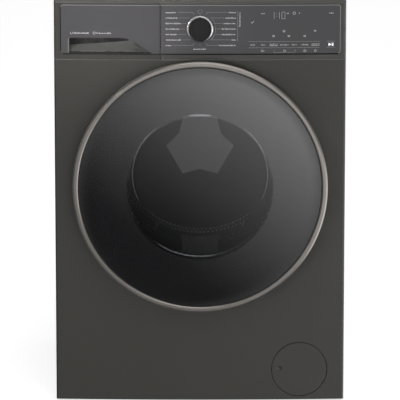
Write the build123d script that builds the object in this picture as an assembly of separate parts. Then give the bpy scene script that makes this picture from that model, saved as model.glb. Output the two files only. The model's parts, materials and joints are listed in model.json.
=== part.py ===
from build123d import *
import math
import os

# A 60 cm class front loading washing machine. Millimetres, +Z up, front towards -Y,
# origin on the floor under the middle of the machine's box.

# ---- Overall sizes -------------------------------------------------------------------
WIDTH = 596.0
HEIGHT = 850.0
DEPTH = 590.0
HALF_W = WIDTH / 2
DOOR_FRONT_Y = -DEPTH / 2
DOOR_PROUD = 30.0          # door face ahead of the middle of the front panel
BULGE = 8.0                # the front is convex by this much over its width
REAR_PROUD = 12.0          # connectors behind the rear wall
PANEL_MID_Y = DOOR_FRONT_Y + DOOR_PROUD
PANEL_EDGE_Y = PANEL_MID_Y + BULGE
REAR_Y = DEPTH / 2 - REAR_PROUD
SHEET = 1.2                # steel sheet
GAP = 0.4                  # clearance between neighbouring pieces
EDGE_R = 5.0               # vertical edges of the front

# ---- Front, from the floor up --------------------------------------------------------
PANEL_Z0 = 7.0
PANEL_Z1 = 722.0
FASCIA_Z0 = 723.4
FASCIA_Z1 = 841.0
WORKTOP_Z0 = 841.8
PAN_DEPTH = 14.0           # how far the front pans fold back along the sides

# ---- Drum, tub and door --------------------------------------------------------------
AXIS_Z = 461.5             # drum and door centre
RING_R = 261.5
RING_WIDTH = 11.2
RING_BACK_Y = DOOR_FRONT_Y + 11.0
DOOR_BACK_Y = PANEL_MID_Y - 2.0
DOOR_BACK_R = 236.0
PANEL_OPENING_R = 186.0
BOWL_R = 150.0
BOWL_WALL = 4.0
BOWL_END_Y = -181.5        # middle of its sloping end
BOWL_TILT = 22.5           # the end leans, deeper at the bottom
BOWL_DEEP_Y = -110.0
BOWL_DEEP_R = 131.0        # what the taper narrows to at that depth
MOUTH_R = 165.0            # drum mouth
GASKET_R = 158.0           # inner mouth of the gasket
DRUM_R = 240.0
DRUM_SHEET = 1.0
DRUM_Y0 = -190.0
DRUM_Y1 = 168.0
TUB_R = 252.0
TUB_WALL = 4.0
TUB_Y0 = -205.0
TUB_Y1 = 185.0
TUB_SPLIT_Y = -60.0
TUB_MOUTH_R = 178.0

# ---- Door hinge and latch ------------------------------------------------------------
HINGE_X = -248.0
HINGE_Y = DOOR_FRONT_Y + 16.0
KNUCKLE_R = 4.0
HINGE_PIN_R = 2.0
KNUCKLE_HALF = 40.0
LUG_HEIGHT = 10.0
POCKET_HALF = 64.0
HOOK_X = 208.0
SLOT_W = 15.0
SLOT_H = 28.0

# ---- Fascia --------------------------------------------------------------------------
INSERT_X0 = -283.5
INSERT_X1 = 286.8
INSERT_Z0 = 735.6
INSERT_Z1 = 835.9
INSERT_R = 5.5
INSERT_PROUD = 0.5
INSERT_T = 1.6
SPLIT_X = -81.1            # drawer front to the left of it, controls to the right
DIAL_Z = 787.2
DIAL_R = 27.0
DIAL_CAP_R = 23.85
DIAL_PROUD = 17.0
GRIP_X0 = -267.0
GRIP_X1 = -98.0
GRIP_TOP_X = -151.0
GRIP_Z1 = 768.0
GRIP_DEPTH = 26.0

# ---- Detergent drawer ----------------------------------------------------------------
BOX_X0 = -272.0
BOX_X1 = -98.0
BOX_Z0 = 750.0
BOX_Z1 = 822.0
BOX_Y0 = -236.5
BOX_Y1 = -60.0
BOX_WALL = 2.0
HOUSING_CLEAR = 2.0
WELL_RISES = (18.0, 3.0, 10.0)  # floors above the tray's underside
SIPHON_R = 8.0
SIPHON_LENGTH = 62.0
SIPHON_INSET = 8.0         # from the tray's rear edge
SIPHON_DROP = 12.0         # lid below the tray's rim

# ---- Drive ---------------------------------------------------------------------------
PULLEY_Y = 232.0
PULLEY_R = 140.0
BELT_W = 12.0
MOTOR_X = -40.0
MOTOR_Z = 116.0
MOTOR_R = 56.0
MOTOR_Y0 = 92.0
MOTOR_Y1 = 200.0
MOTOR_EAR_X = 38.0
MOTOR_EAR_TOP = 62.0       # where the ears meet the tub's lugs
MOTOR_GROOVES = 12
ROTOR_Y0 = 151.0
MOTOR_PULLEY_R = 11.0
SHAFT_R = 12.5
HUB_R = 48.0
BEARING_YS = (182.5, 199.0)
BEARING_W = 14.5
BEARING_OUT_R = 26.0
DAMPER_X = 172.0
DAMPER_Y = 20.0
SPRING_X = 222.0
SPRING_Y = 13.0

# ---- Pump and filter -----------------------------------------------------------------
FILTER_X = 205.7
FILTER_Z = 71.4
COVER_R = 56.7
COVER_GAP = 1.2
COVER_AXIS_X = FILTER_X + COVER_R * 0.86
COVER_AXIS_DEPTH = 1.0      # hinge line behind the front panel's face
COVER_PIN_R = 0.8
COVER_PIN_HALF = 37.4
BARREL_R = 33.0

# ---- Feet ----------------------------------------------------------------------------
FOOT_X = 266.0
FOOT_Y0 = -205.0
FOOT_Y1 = 248.0
FOOT_R = 20.0
FOOT_STEM_R = 5.0
FOOT_PAD_T = 9.0
BASE_Z0 = 24.0
BASE_Z1 = 46.0


# ---- Shape helpers -------------------------------------------------------------------
def block(x0, x1, y0, y1, z0, z1):
    """A box between two corners."""
    return Pos((x0 + x1) / 2, (y0 + y1) / 2, (z0 + z1) / 2) * Box(x1 - x0, y1 - y0, z1 - z0)


def rod_y(radius, y0, y1, x=0.0, z=AXIS_Z):
    """A cylinder along Y."""
    return Pos(x, (y0 + y1) / 2, z) * Rot(90, 0, 0) * Cylinder(radius, y1 - y0)


def rod_z(radius, z0, z1, x=0.0, y=0.0):
    """A cylinder along Z."""
    return Pos(x, y, (z0 + z1) / 2) * Cylinder(radius, z1 - z0)


def rod_x(radius, x0, x1, y=0.0, z=0.0):
    """A cylinder along X."""
    return Pos((x0 + x1) / 2, y, z) * Rot(0, 90, 0) * Cylinder(radius, x1 - x0)


def tube_y(outer, inner, y0, y1, x=0.0, z=AXIS_Z):
    """A hollow cylinder along Y."""
    return rod_y(outer, y0, y1, x, z) - rod_y(inner, y0 - 1, y1 + 1, x, z)


def spun(points):
    """A closed (radius, y) outline turned round the drum axis."""
    face = make_face(Polyline(*points, close=True))
    return Pos(0, 0, AXIS_Z) * revolve(face, Axis.Y)


def plate_y(face, y0, y1):
    """A face drawn in X and Z, thickened from y0 to y1."""
    return Pos(0, y1, 0) * extrude(Plane.XZ * face, y1 - y0)


def repeat(piece, places):
    """Separate copies of one piece."""
    return Compound(children=[Pos(*place) * piece for place in places])


def front_block(offset, back_y, z0, z1, half_w=HALF_W, edge_r=0.0):
    """Everything between the convex front, moved back by offset, and back_y."""
    edge_y = PANEL_EDGE_Y + offset
    outline = [
        Line((-half_w, back_y), (-half_w, edge_y)),
        ThreePointArc((-half_w, edge_y), (0, PANEL_MID_Y + offset), (half_w, edge_y)),
        Line((half_w, edge_y), (half_w, back_y)),
        Line((half_w, back_y), (-half_w, back_y)),
    ]
    face = make_face(outline)
    if edge_r:
        face = fillet(face.vertices().group_by(Axis.Y)[0], edge_r)
    return Pos(0, 0, z0) * extrude(face, z1 - z0)


def front_pan(z0, z1, wall, back_y):
    """A hollow pan behind the convex front, open to the rear."""
    outer = front_block(0, back_y, z0, z1, edge_r=EDGE_R)
    inner = front_block(wall, back_y + 20, z0 + wall, z1 - wall, HALF_W - wall, EDGE_R - wall)
    return outer - inner


def panel_y(x):
    """Where the convex front lies at x."""
    return PANEL_MID_Y + BULGE * (x / HALF_W) ** 2


# ---- Cabinet -------------------------------------------------------------------------
SIDE_Y0 = PANEL_EDGE_Y + PAN_DEPTH + GAP
SIDE_FOLD = 12.0
WALL_Y0 = REAR_Y + 0.3      # rear wall's inner face, on the side panels' folds
WALL_Y1 = WALL_Y0 + SHEET
RIB_PROUD = 2.5             # pressed ribs behind the rear wall
RIB_R = 150.0
RIB_WIDTH = 22.0
VENT_X = 205.0
VENT_W = 36.0
VENT_H = 4.0
VENT_PITCH = 14.0
VENT_COUNT = 9
BAR_Z0 = 822.0
BAR_Z1 = WORKTOP_Z0 - GAP - SHEET - 0.4
BAR_WIDTH = 36.0
REAR_BAR_Y = 150.0
TRANSIT_X = 170.0
TRANSIT_ZS = (240.0, 700.0)
TRANSIT_R = 11.0
VALVE_X = 215.0
VALVE_Z = 790.0
INLET_R = 13.2             # 3/4 inch hose thread
DRAIN_X = 252.0
DRAIN_Z = 640.0
SPIGOT_R = 9.5
GLAND_R = 8.6
GLAND_BORE_R = 4.0
GLAND_X = -150.0
GLAND_Z = 790.0
SCREW_XS = (-180.0, -60.0, 60.0, 180.0)
SCREW_ZS = (80.0, 230.0, 380.0, 530.0, 680.0, 820.0)
LOCK_Y1 = -228.0


def rear_holes():
    """Where bolts, hoses and the cord pass through the rear wall."""
    y0, y1 = REAR_Y - 10, REAR_Y + 10
    holes = rod_y(INLET_R + 2, y0, y1, VALVE_X, VALVE_Z)
    holes += rod_y(SPIGOT_R + 2.5, y0, y1, DRAIN_X, DRAIN_Z)
    holes += rod_y(GLAND_R + 0.4, y0, y1, GLAND_X, GLAND_Z)
    for x in (-TRANSIT_X, TRANSIT_X):
        for z in TRANSIT_ZS:
            holes += rod_y(TRANSIT_R, y0, y1, x, z)
    return holes


def rear_vents():
    """A column of slots at each side of the rear wall."""
    middle = (VENT_COUNT - 1) / 2
    vents = []
    for x in (-VENT_X, VENT_X):
        for row in range(VENT_COUNT):
            z = AXIS_Z + (row - middle) * VENT_PITCH
            vents.append(block(x - VENT_W / 2, x + VENT_W / 2, REAR_Y - 5, REAR_Y + 8, z, z + VENT_H))
    return vents


def side_panels():
    """Two side walls, each folded inwards along its front, rear and top edges."""
    z1 = WORKTOP_Z0 - GAP
    fold_x = HALF_W - SIDE_FOLD
    panel = block(fold_x, HALF_W, SIDE_Y0, REAR_Y, PANEL_Z0, z1)
    outer_edges = panel.edges().filter_by(Axis.Z).group_by(Axis.X)[-1]
    panel = fillet(outer_edges.sort_by(Axis.Y)[-1], 1.0)
    panel -= block(fold_x - 1, HALF_W - SHEET, SIDE_Y0 + SHEET, REAR_Y - SHEET, 0, z1 - SHEET)
    return Compound(children=[panel, mirror(panel, Plane.YZ)])


def rear_panel():
    """Rear wall with pressed ribs, vents and holes for bolts, hoses and cord."""
    edge_x = HALF_W - 3
    rib_y = WALL_Y1 + RIB_PROUD
    wall = block(-edge_x, edge_x, WALL_Y0, WALL_Y1, BASE_Z1 + 2, WORKTOP_Z0 - GAP)
    wall += tube_y(RIB_R, RIB_R - RIB_WIDTH, WALL_Y0 + 0.5, rib_y)
    for z in (AXIS_Z - 200, AXIS_Z + 190):
        wall += block(-110, 110, WALL_Y0 + 0.5, rib_y, z, z + RIB_WIDTH)
    return wall - rear_holes() - rear_vents()


def front_panel():
    """Convex front pan with the door opening, the latch slot and the filter opening."""
    pan = front_pan(PANEL_Z0, PANEL_Z1, SHEET, PANEL_EDGE_Y + PAN_DEPTH)
    pan -= rod_y(PANEL_OPENING_R, -300, -200)
    pan += tube_y(PANEL_OPENING_R, PANEL_OPENING_R - SHEET, PANEL_MID_Y + 0.8, PANEL_MID_Y + 14)
    cup_back = PANEL_MID_Y + 26
    cup_r = COVER_R + COVER_GAP
    pan -= rod_y(cup_r, -300, -200, FILTER_X, FILTER_Z)
    cup = tube_y(cup_r + SHEET, cup_r, panel_y(FILTER_X) + 2.2, cup_back, FILTER_X, FILTER_Z)
    cup += tube_y(cup_r + SHEET, BARREL_R + 3, cup_back - SHEET, cup_back, FILTER_X, FILTER_Z)
    pan += cup
    for side in (-1, 1):
        pan += cover_hinge_ear(side)
    pan -= cover_hinge_rod(COVER_PIN_R + 0.06, COVER_PIN_HALF + 0.3)
    slot = block(HOOK_X - SLOT_W / 2, HOOK_X + SLOT_W / 2, -300, -200,
                 AXIS_Z - SLOT_H / 2, AXIS_Z + SLOT_H / 2)
    return pan - slot


def cover_hinge_ear(side):
    """Ear behind the panel that holds one end of the filter cover's pin."""
    y = panel_y(COVER_AXIS_X)
    z0, z1 = sorted(FILTER_Z + side * reach for reach in (COVER_PIN_HALF - 2.6, COVER_PIN_HALF + 1.4))
    return block(COVER_AXIS_X - 2.2, COVER_AXIS_X + 2.2, y + 0.4, y + 3.4, z0, z1)


def cover_hinge_rod(radius, half):
    """A rod along the filter cover's hinge line."""
    y = panel_y(COVER_AXIS_X) + COVER_AXIS_DEPTH
    return rod_z(radius, FILTER_Z - half, FILTER_Z + half, COVER_AXIS_X, y)


def worktop():
    """Flat top with a convex front and rounded edges."""
    top = front_block(0, REAR_Y, WORKTOP_Z0, HEIGHT, edge_r=EDGE_R)
    return fillet(top.edges().group_by(Axis.Z)[-1], 2.5)


def top_crossbars():
    """Two channels that tie the cabinet's sides together under the worktop."""
    bars = []
    for y in (SPRING_Y - BAR_WIDTH / 2, REAR_BAR_Y):
        bar = block(-HALF_W + 2, HALF_W - 2, y, y + BAR_WIDTH, BAR_Z0, BAR_Z1)
        bars.append(bar - block(-HALF_W, HALF_W, y + 1.5, y + BAR_WIDTH - 1.5, BAR_Z0 - 1, BAR_Z1 - 1))
    return Compound(children=bars)


def base_tray():
    """Moulded base that carries the dampers, the pump and the feet."""
    y0 = PANEL_EDGE_Y + PAN_DEPTH + 2
    tray = block(-HALF_W + 2, HALF_W - 2, y0, REAR_Y - 3, BASE_Z0, BASE_Z1)
    tray = fillet(tray.edges().filter_by(Axis.Z), 8.0)
    tray -= block(-HALF_W + 6, HALF_W - 6, y0 + 4, REAR_Y - 7, BASE_Z0 + 4, BASE_Z1 + 5)
    for x in (-90, 90):
        tray += block(x - 2, x + 2, y0 + 3, REAR_Y - 6, BASE_Z0 + 3, BASE_Z1 - 2)
    for x, y in foot_places():
        tray += rod_z(13, BASE_Z0 - 2, BASE_Z1 - 2, x, y)
        tray -= rod_z(FOOT_STEM_R + 0.05, BASE_Z0 - 10, BASE_Z1 + 10, x, y)
    tray -= rod_y(COVER_R + 3, y0 - 5, y0 + 12, FILTER_X, FILTER_Z)
    return tray


def foot_places():
    """The corners where the feet stand."""
    return [(x, y) for y in (FOOT_Y0, FOOT_Y1) for x in (-FOOT_X, FOOT_X)]


def foot(x, y):
    """A screw foot: a plain stem, a hexagon to turn it by and a round pad."""
    hexagon = Pos(x, y, FOOT_PAD_T) * extrude(RegularPolygon(10, 6), 6)
    pad = rod_z(FOOT_R, 0, FOOT_PAD_T, x, y)
    pad = fillet(pad.edges().group_by(Axis.Z)[-1], 2.0)
    return pad + hexagon + rod_z(FOOT_STEM_R, FOOT_PAD_T - 1, BASE_Z1 + 6, x, y)


def transit_caps():
    """Four plugs in the transit bolt holes, each with a pull tab."""
    y0 = WALL_Y1
    cap = rod_y(TRANSIT_R + 5, y0, y0 + 2.5, 0, 0) + rod_y(TRANSIT_R - 0.3, y0 - 12, y0 + 1, 0, 0)
    cap -= rod_y(TRANSIT_R - 2.5, y0 - 13, y0 - 1, 0, 0)
    cap += block(-2, 2, y0 + 2, y0 + 6, -8, 8)
    return repeat(cap, [(x, 0, z) for x in (-TRANSIT_X, TRANSIT_X) for z in TRANSIT_ZS])


def screw_heads():
    """Pan head screws round the rear wall."""
    y0 = WALL_Y1
    head = rod_y(4.2, y0, y0 + 2.4, 0, 0)
    head = fillet(head.edges().group_by(Axis.Y)[-1], 1.2)
    slot = block(-2.4, 2.4, y0 + 1.4, y0 + 3, -0.5, 0.5)
    head -= slot + Rot(0, 90, 0) * slot
    edge_x = HALF_W - SIDE_FOLD / 2 - 3
    places = [(x, 0, z) for x in (-edge_x, edge_x) for z in SCREW_ZS]
    places += [(x, 0, z) for x in SCREW_XS for z in (BASE_Z1 + 10, WORKTOP_Z0 - 12)]
    return repeat(head, places)


# ---- Fascia, controls and detergent drawer -------------------------------------------
FASCIA_WALL = 2.6
FASCIA_BACK_Y = PANEL_EDGE_Y + PAN_DEPTH
SPLIT_GAP = 1.3
BED_WALL = 2.8
DIAL_STEM_R = 7.0
DIAL_GAP = 0.5
OUTLET_X = -185.0
OUTLET_R = 15.0
OUTLET_DROP = 24.0          # outlet's end below the drawer tray
BOARD_Y = FASCIA_BACK_Y + 3.0
BOARD_T = 1.6
BOARD_XS = (-60.0, 270.0)
BOARD_ZS = (738.0, 833.0)
ENCODER_HALF = 9.0
ENCODER_BORE_R = 4.5
DISPLAY_XS = (110.0, 180.0)
DISPLAY_ZS = (796.0, 826.0)
RELAY_XS = (120.0, 200.0)
RELAY_ZS = (745.0, 780.0)
CAPACITOR_R = 7.0
CAPACITOR_XS = (60.0, 90.0, 215.0, 240.0)
CAPACITOR_Z = 765.0


def insert_outline(grow=0.0):
    """The insert's rounded outline over the whole width."""
    width = INSERT_X1 - INSERT_X0 + 2 * grow
    height = INSERT_Z1 - INSERT_Z0 + 2 * grow
    mid = ((INSERT_X0 + INSERT_X1) / 2, (INSERT_Z0 + INSERT_Z1) / 2)
    return Pos(*mid) * RectangleRounded(width, height, INSERT_R + grow)


def grip_outline(grow=0.0):
    """The finger recess under the drawer front: square at the left, sloping at the right."""
    points = [
        (GRIP_X0 - grow, INSERT_Z0 + 1 - grow),
        (GRIP_X0 - grow, GRIP_Z1 + grow),
        (GRIP_TOP_X, GRIP_Z1 + grow),
        (GRIP_X1 + grow, INSERT_Z0 + 1 - grow),
    ]
    face = make_face(Polyline(*points, close=True))
    corner = face.vertices().group_by(Axis.Y)[-1].sort_by(Axis.X)[0]
    face = fillet([corner], 5.0 + grow)
    slope = face.vertices().group_by(Axis.Y)[-1].sort_by(Axis.X)[-1]
    return fillet([slope], 38.0)


def insert_skin(x0, x1, clearance=0.0):
    """Curved overlay between x0 and x1, a little proud of the frame round it."""
    slab = front_block(-INSERT_PROUD - clearance, -200, 700, 850)
    slab -= front_block(INSERT_T, -190, 690, 860, HALF_W + 10)
    outline = plate_y(insert_outline(clearance), -300, -200)
    return slab & outline & block(x0, x1, -300, -200, 700, 850)


def fascia_body(x0, x1):
    """The moulded frame between x0 and x1, with a shallow bed for its insert."""
    pan = front_pan(FASCIA_Z0, FASCIA_Z1, FASCIA_WALL, FASCIA_BACK_Y)
    bed_y = INSERT_T + 0.2
    pan += front_block(bed_y, FASCIA_BACK_Y - 3, INSERT_Z0 - 4, INSERT_Z1 + 3, HALF_W - 8)
    pan -= front_block(bed_y + BED_WALL, FASCIA_BACK_Y + 9, INSERT_Z0 + 1, INSERT_Z1 - 1, HALF_W - 14)
    bed = front_block(-20, -200, 700, 850) - front_block(bed_y, -190, 690, 860, HALF_W + 9)
    pan -= bed & plate_y(insert_outline(0.3), -300, -200)
    return pan & block(x0, x1, -300, -200, 700, 850)


def fascia_frame():
    """Control side of the fascia."""
    frame = fascia_body(SPLIT_X + SPLIT_GAP / 2, HALF_W + 1)
    cheek_x = SPLIT_X + SPLIT_GAP / 2
    frame += block(cheek_x, cheek_x + 2, PANEL_EDGE_Y - 1, FASCIA_BACK_Y, FASCIA_Z0 + 1, FASCIA_Z1 - 1)
    return frame - rod_y(DIAL_STEM_R + 1.4, -300, -200, 0, DIAL_Z)


def fascia_insert():
    """Overlay that carries the display, the touch keys and the dial opening."""
    skin = insert_skin(SPLIT_X + SPLIT_GAP / 2, HALF_W)
    skin -= rod_y(DIAL_STEM_R + 1.4, -300, -200, 0, DIAL_Z)
    return skin


def drawer_insert():
    """Overlay on the drawer front, cut round the finger recess."""
    skin = insert_skin(-HALF_W, SPLIT_X - SPLIT_GAP / 2)
    return skin - plate_y(grip_outline(), -300, -200)


def drawer_front():
    """Drawer side of the fascia, with a finger recess moulded into it."""
    front = fascia_body(-HALF_W - 1, SPLIT_X - SPLIT_GAP / 2)
    cheek_x = SPLIT_X - SPLIT_GAP / 2
    front += block(cheek_x - 2, cheek_x, PANEL_EDGE_Y - 1, FASCIA_BACK_Y, FASCIA_Z0 + 1, FASCIA_Z1 - 1)
    cavity_back = PANEL_MID_Y + GRIP_DEPTH + 2
    cup = plate_y(grip_outline(2.0), PANEL_EDGE_Y + 1.5, cavity_back)
    cavity = plate_y(grip_outline(), -300, cavity_back - 2)
    return front + cup - cavity


def control_board():
    """Circuit board with the dial's encoder, the display and a few tall parts."""
    back_y = BOARD_Y + BOARD_T
    part_y = back_y + 0.1
    bore = rod_y(ENCODER_BORE_R, -300, -200, 0, DIAL_Z)
    board = block(*BOARD_XS, BOARD_Y, back_y, *BOARD_ZS) - bore
    encoder = block(-ENCODER_HALF, ENCODER_HALF, part_y, part_y + 6.3,
                    DIAL_Z - ENCODER_HALF, DIAL_Z + ENCODER_HALF) - bore
    display = block(*DISPLAY_XS, part_y, part_y + 10, *DISPLAY_ZS)
    relay = block(*RELAY_XS, part_y, part_y + 14, *RELAY_ZS)
    capacitors = [rod_y(CAPACITOR_R, part_y, part_y + 18, x, CAPACITOR_Z) for x in CAPACITOR_XS]
    return Compound(children=[board, encoder, display, relay, *capacitors])


def selector_ring():
    """Bright turned ring round the programme dial."""
    face_y = PANEL_MID_Y - INSERT_PROUD - DIAL_GAP
    ring = tube_y(DIAL_R, DIAL_CAP_R - 1.2, face_y - 5.0, face_y, 0, DIAL_Z)
    outer_edge = ring.edges().group_by(Axis.Y)[0].sort_by(SortBy.RADIUS)[-1]
    return fillet([outer_edge], 2.0)


def selector_cap():
    """Dial cap with a pointer, a hub inside the ring and a stem through the board."""
    face_y = PANEL_MID_Y - INSERT_PROUD - DIAL_GAP
    tip_y = face_y - DIAL_PROUD + 1
    cap = rod_y(DIAL_CAP_R - 0.2, tip_y, face_y - 5.2, 0, DIAL_Z)
    cap = fillet(cap.edges().group_by(Axis.Y)[0], 2.4)
    pointer = Pos(0, 0, DIAL_Z + DIAL_CAP_R - 2.4) * block(-1.1, 1.1, tip_y + 1, face_y - 5.6, -3, 4.2)
    cap += pointer
    cap += rod_y(DIAL_CAP_R - 1.4, face_y - 5.6, face_y - 0.4, 0, DIAL_Z)
    cap += rod_y(DIAL_STEM_R, face_y - 1, PANEL_MID_Y + 8, 0, DIAL_Z)
    cap += rod_y(3.0, PANEL_MID_Y + 7, FASCIA_BACK_Y + 12, 0, DIAL_Z)
    return cap


def detergent_drawer():
    """Open tray with three compartments, each with its own floor."""
    tray = block(BOX_X0, BOX_X1, BOX_Y0, BOX_Y1, BOX_Z0, BOX_Z1)
    tray = fillet(tray.edges().filter_by(Axis.Z).group_by(Axis.Y)[-1], 4.0)
    walls = compartment_walls()
    lefts, rights = [BOX_X0 + BOX_WALL] + walls, walls + [BOX_X1 - BOX_WALL]
    for left, right, rise in zip(lefts, rights, WELL_RISES):
        tray -= block(left + 1, right - 1, BOX_Y0 + 3, BOX_Y1 - 3, BOX_Z0 + rise, BOX_Z1 + 5)
    return tray


def compartment_walls():
    """Where the two dividers of the drawer stand."""
    return [BOX_X0 + 52.0, BOX_X0 + 122.0]


def siphon_cap():
    """Lift out siphon cover in the softener compartment."""
    x0, x1 = BOX_X0 + BOX_WALL + 2, compartment_walls()[0] - 2
    mid_x, mid_y = (x0 + x1) / 2, BOX_Y1 - SIPHON_INSET - SIPHON_LENGTH / 2
    lid_z = BOX_Z1 - SIPHON_DROP
    cap = block(x0, x1, mid_y - SIPHON_LENGTH / 2, mid_y + SIPHON_LENGTH / 2, lid_z, lid_z + 3)
    cap += rod_z(SIPHON_R, BOX_Z0 + WELL_RISES[0] + 1, lid_z + 2, mid_x, mid_y)
    return cap + rod_z(SIPHON_R + 3, lid_z + 2, lid_z + 6, mid_x, mid_y)


def dispenser_housing():
    """Housing that the drawer slides in, with the outlet elbow at its lower rear."""
    c = HOUSING_CLEAR
    wall = 2.4
    outer = block(BOX_X0 - c - wall, BOX_X1 + c + wall, BOX_Y0 + 6, BOX_Y1 + 26, BOX_Z0 - c - wall, 834)
    inner = block(BOX_X0 - c, BOX_X1 + c, BOX_Y0 - 20, BOX_Y1 + 14, BOX_Z0 - c, BOX_Z1 + 6)
    housing = outer - inner
    housing += rod_z(OUTLET_R, BOX_Z0 - OUTLET_DROP, BOX_Z0 - c, OUTLET_X, BOX_Y1 + 8)
    housing -= rod_z(OUTLET_R - 3, BOX_Z0 - OUTLET_DROP - 6, BOX_Z0 + 5, OUTLET_X, BOX_Y1 + 8)
    housing += rod_y(9, BOX_Y1 + 25, BOX_Y1 + 44, BOX_X1 - 20, 820)
    return housing


# ---- Door ----------------------------------------------------------------------------
GLASS_R = RING_R - RING_WIDTH - 0.6
GLASS_Y0 = DOOR_FRONT_Y + 1.4
GLASS_T = 4.0
GLASS_CHAMFER = 0.8
WEB_Y = GLASS_Y0 + GLASS_T + 1.9
FLANGE_Y = PANEL_MID_Y + 3.0
WINDOW_R = BOWL_R + 3.0
BACK_SHEET = 2.4


def door_glass():
    """Tinted outer glass with a ground edge."""
    pane = rod_y(GLASS_R, GLASS_Y0, GLASS_Y0 + GLASS_T)
    return chamfer(pane.edges().group_by(Axis.Y)[0], GLASS_CHAMFER)


def door_ring():
    """Domed metal ring round the outer glass."""
    inner_r = RING_R - RING_WIDTH
    outline = [
        (inner_r, RING_BACK_Y),
        (inner_r, DOOR_FRONT_Y + 1.6),
        (inner_r + 1.6, DOOR_FRONT_Y),
        (RING_R, DOOR_FRONT_Y),
        (RING_R, RING_BACK_Y),
    ]
    face = make_face(Polyline(*outline, close=True))
    crown = face.vertices().sort_by_distance((RING_R, DOOR_FRONT_Y, 0))[0]
    face = fillet([crown], 6.0)
    heel = face.vertices().sort_by_distance((RING_R, RING_BACK_Y, 0))[0]
    face = fillet([heel], 1.5)
    return Pos(0, 0, AXIS_Z) * revolve(face, Axis.Y)


def hinge_pocket():
    """Room behind the ring for the hinge lugs as they swing."""
    return block(-RING_R - 2, -204, RING_BACK_Y - 0.2, -200, AXIS_Z - POCKET_HALF, AXIS_Z + POCKET_HALF)


def door_frame():
    """Carrier behind the outer glass, tapering in towards the cabinet."""
    rim_r = RING_R - RING_WIDTH - 0.3
    frame = spun([
        (WINDOW_R, WEB_Y - 1.5),
        (rim_r, WEB_Y - 1.5),
        (rim_r, RING_BACK_Y + 0.3),
        (RING_R - 8, RING_BACK_Y + 0.3),
        (DOOR_BACK_R, DOOR_BACK_Y),
        (DOOR_BACK_R - 3, DOOR_BACK_Y),
        (RING_R - 13, RING_BACK_Y + 1.5),
        (RING_R - 13, WEB_Y + 1.0),
        (WINDOW_R + 3, WEB_Y + 1.0),
        (WINDOW_R + 1.6, FLANGE_Y - 0.3),
        (WINDOW_R - 1, FLANGE_Y - 0.3),
    ])
    return frame - hinge_pocket()


def bowl_core(front_y, end_y, thinner, corner_r):
    """A round taper into the drum, cut off on a slope and rounded where it ends."""
    core = spun([
        (0, front_y),
        (BOWL_R + 0.5 - thinner, front_y),
        (BOWL_DEEP_R - thinner, BOWL_DEEP_Y),
        (0, BOWL_DEEP_Y),
    ])
    reach = 2 * BOWL_R
    beyond = block(-reach, reach, 0, reach, -reach, reach)
    core -= Pos(0, end_y, AXIS_Z) * Rot(BOWL_TILT, 0, 0) * beyond
    return fillet(core.faces().sort_by(Axis.Y)[-1].edges(), corner_r)


def door_bowl():
    """Deep moulded glass bowl that keeps the load in the drum."""
    wall = BOWL_WALL
    bowl = rod_y(BOWL_R + 18, FLANGE_Y, FLANGE_Y + wall)
    bowl += bowl_core(FLANGE_Y + 1, BOWL_END_Y, 0, 24.0)
    return bowl - bowl_core(FLANGE_Y - 1, BOWL_END_Y - wall, wall, 20.0)


def door_inner_frame():
    """Back cover that clamps the bowl's flange to the carrier."""
    clamp_y = FLANGE_Y + BOWL_WALL + 0.3
    frame = spun([
        (BOWL_R + 3, clamp_y),
        (BOWL_R + 19, clamp_y),
        (BOWL_R + 19, FLANGE_Y - 4),
        (BOWL_R + 22, DOOR_BACK_Y - BACK_SHEET),
        (DOOR_BACK_R - 3.4, DOOR_BACK_Y - BACK_SHEET),
        (DOOR_BACK_R - 3.4, DOOR_BACK_Y),
        (BOWL_R + 28, DOOR_BACK_Y),
        (BOWL_R + 23, clamp_y + 3),
        (BOWL_R + 3, clamp_y + 3),
    ])
    frame -= hinge_pocket()
    hook_hole = block(HOOK_X - 5, HOOK_X + 6, DOOR_BACK_Y - 12, DOOR_BACK_Y + 9, AXIS_Z - 12, AXIS_Z + 12)
    return frame - hook_hole


def door_hinge_leaf():
    """Door half of the hinge: a knuckle and a plate with two screw holes."""
    y0 = RING_BACK_Y + 0.4
    leaf = block(HINGE_X, -207, y0, y0 + 2.4, AXIS_Z - KNUCKLE_HALF, AXIS_Z + KNUCKLE_HALF)
    leaf += rod_z(KNUCKLE_R, AXIS_Z - KNUCKLE_HALF, AXIS_Z + KNUCKLE_HALF, HINGE_X, HINGE_Y)
    leaf -= rod_z(HINGE_PIN_R + 0.06, 0, HEIGHT, HINGE_X, HINGE_Y)
    for z in (AXIS_Z - 26, AXIS_Z + 26):
        leaf -= rod_y(2.2, -300, -200, -218, z)
    return leaf


def hinge_lug_outline():
    """Plan of a hinge lug: a straight arm from the eye back to the cabinet plate."""
    foot_x, foot_y = HINGE_X + 20, panel_y(HINGE_X) - 3.4
    arm = math.hypot(foot_x - HINGE_X, foot_y - HINGE_Y)
    tilt = math.degrees(math.atan2(foot_y - HINGE_Y, foot_x - HINGE_X))
    bar = Pos(HINGE_X, HINGE_Y) * Rot(0, 0, tilt) * Pos(arm / 2, 0) * Rectangle(arm, 5.4)
    eye = Pos(HINGE_X, HINGE_Y) * Circle(KNUCKLE_R - 0.4)
    return bar + eye


def door_hinge_bracket():
    """Cabinet half of the hinge: a plate on the panel and two lugs."""
    back_y = panel_y(-204) - 0.4
    bracket = block(-231, -205, back_y - 2.6, back_y, AXIS_Z - 58, AXIS_Z + 58)
    for z0 in (AXIS_Z + KNUCKLE_HALF + 0.5, AXIS_Z - KNUCKLE_HALF - 0.5 - LUG_HEIGHT):
        bracket += Pos(0, 0, z0) * extrude(hinge_lug_outline(), LUG_HEIGHT)
    bracket -= rod_z(HINGE_PIN_R + 0.02, 0, HEIGHT, HINGE_X, HINGE_Y)
    for z in (AXIS_Z - 24, AXIS_Z, AXIS_Z + 24):
        bracket -= rod_y(2.4, -300, -200, -218, z)
    return bracket


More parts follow.
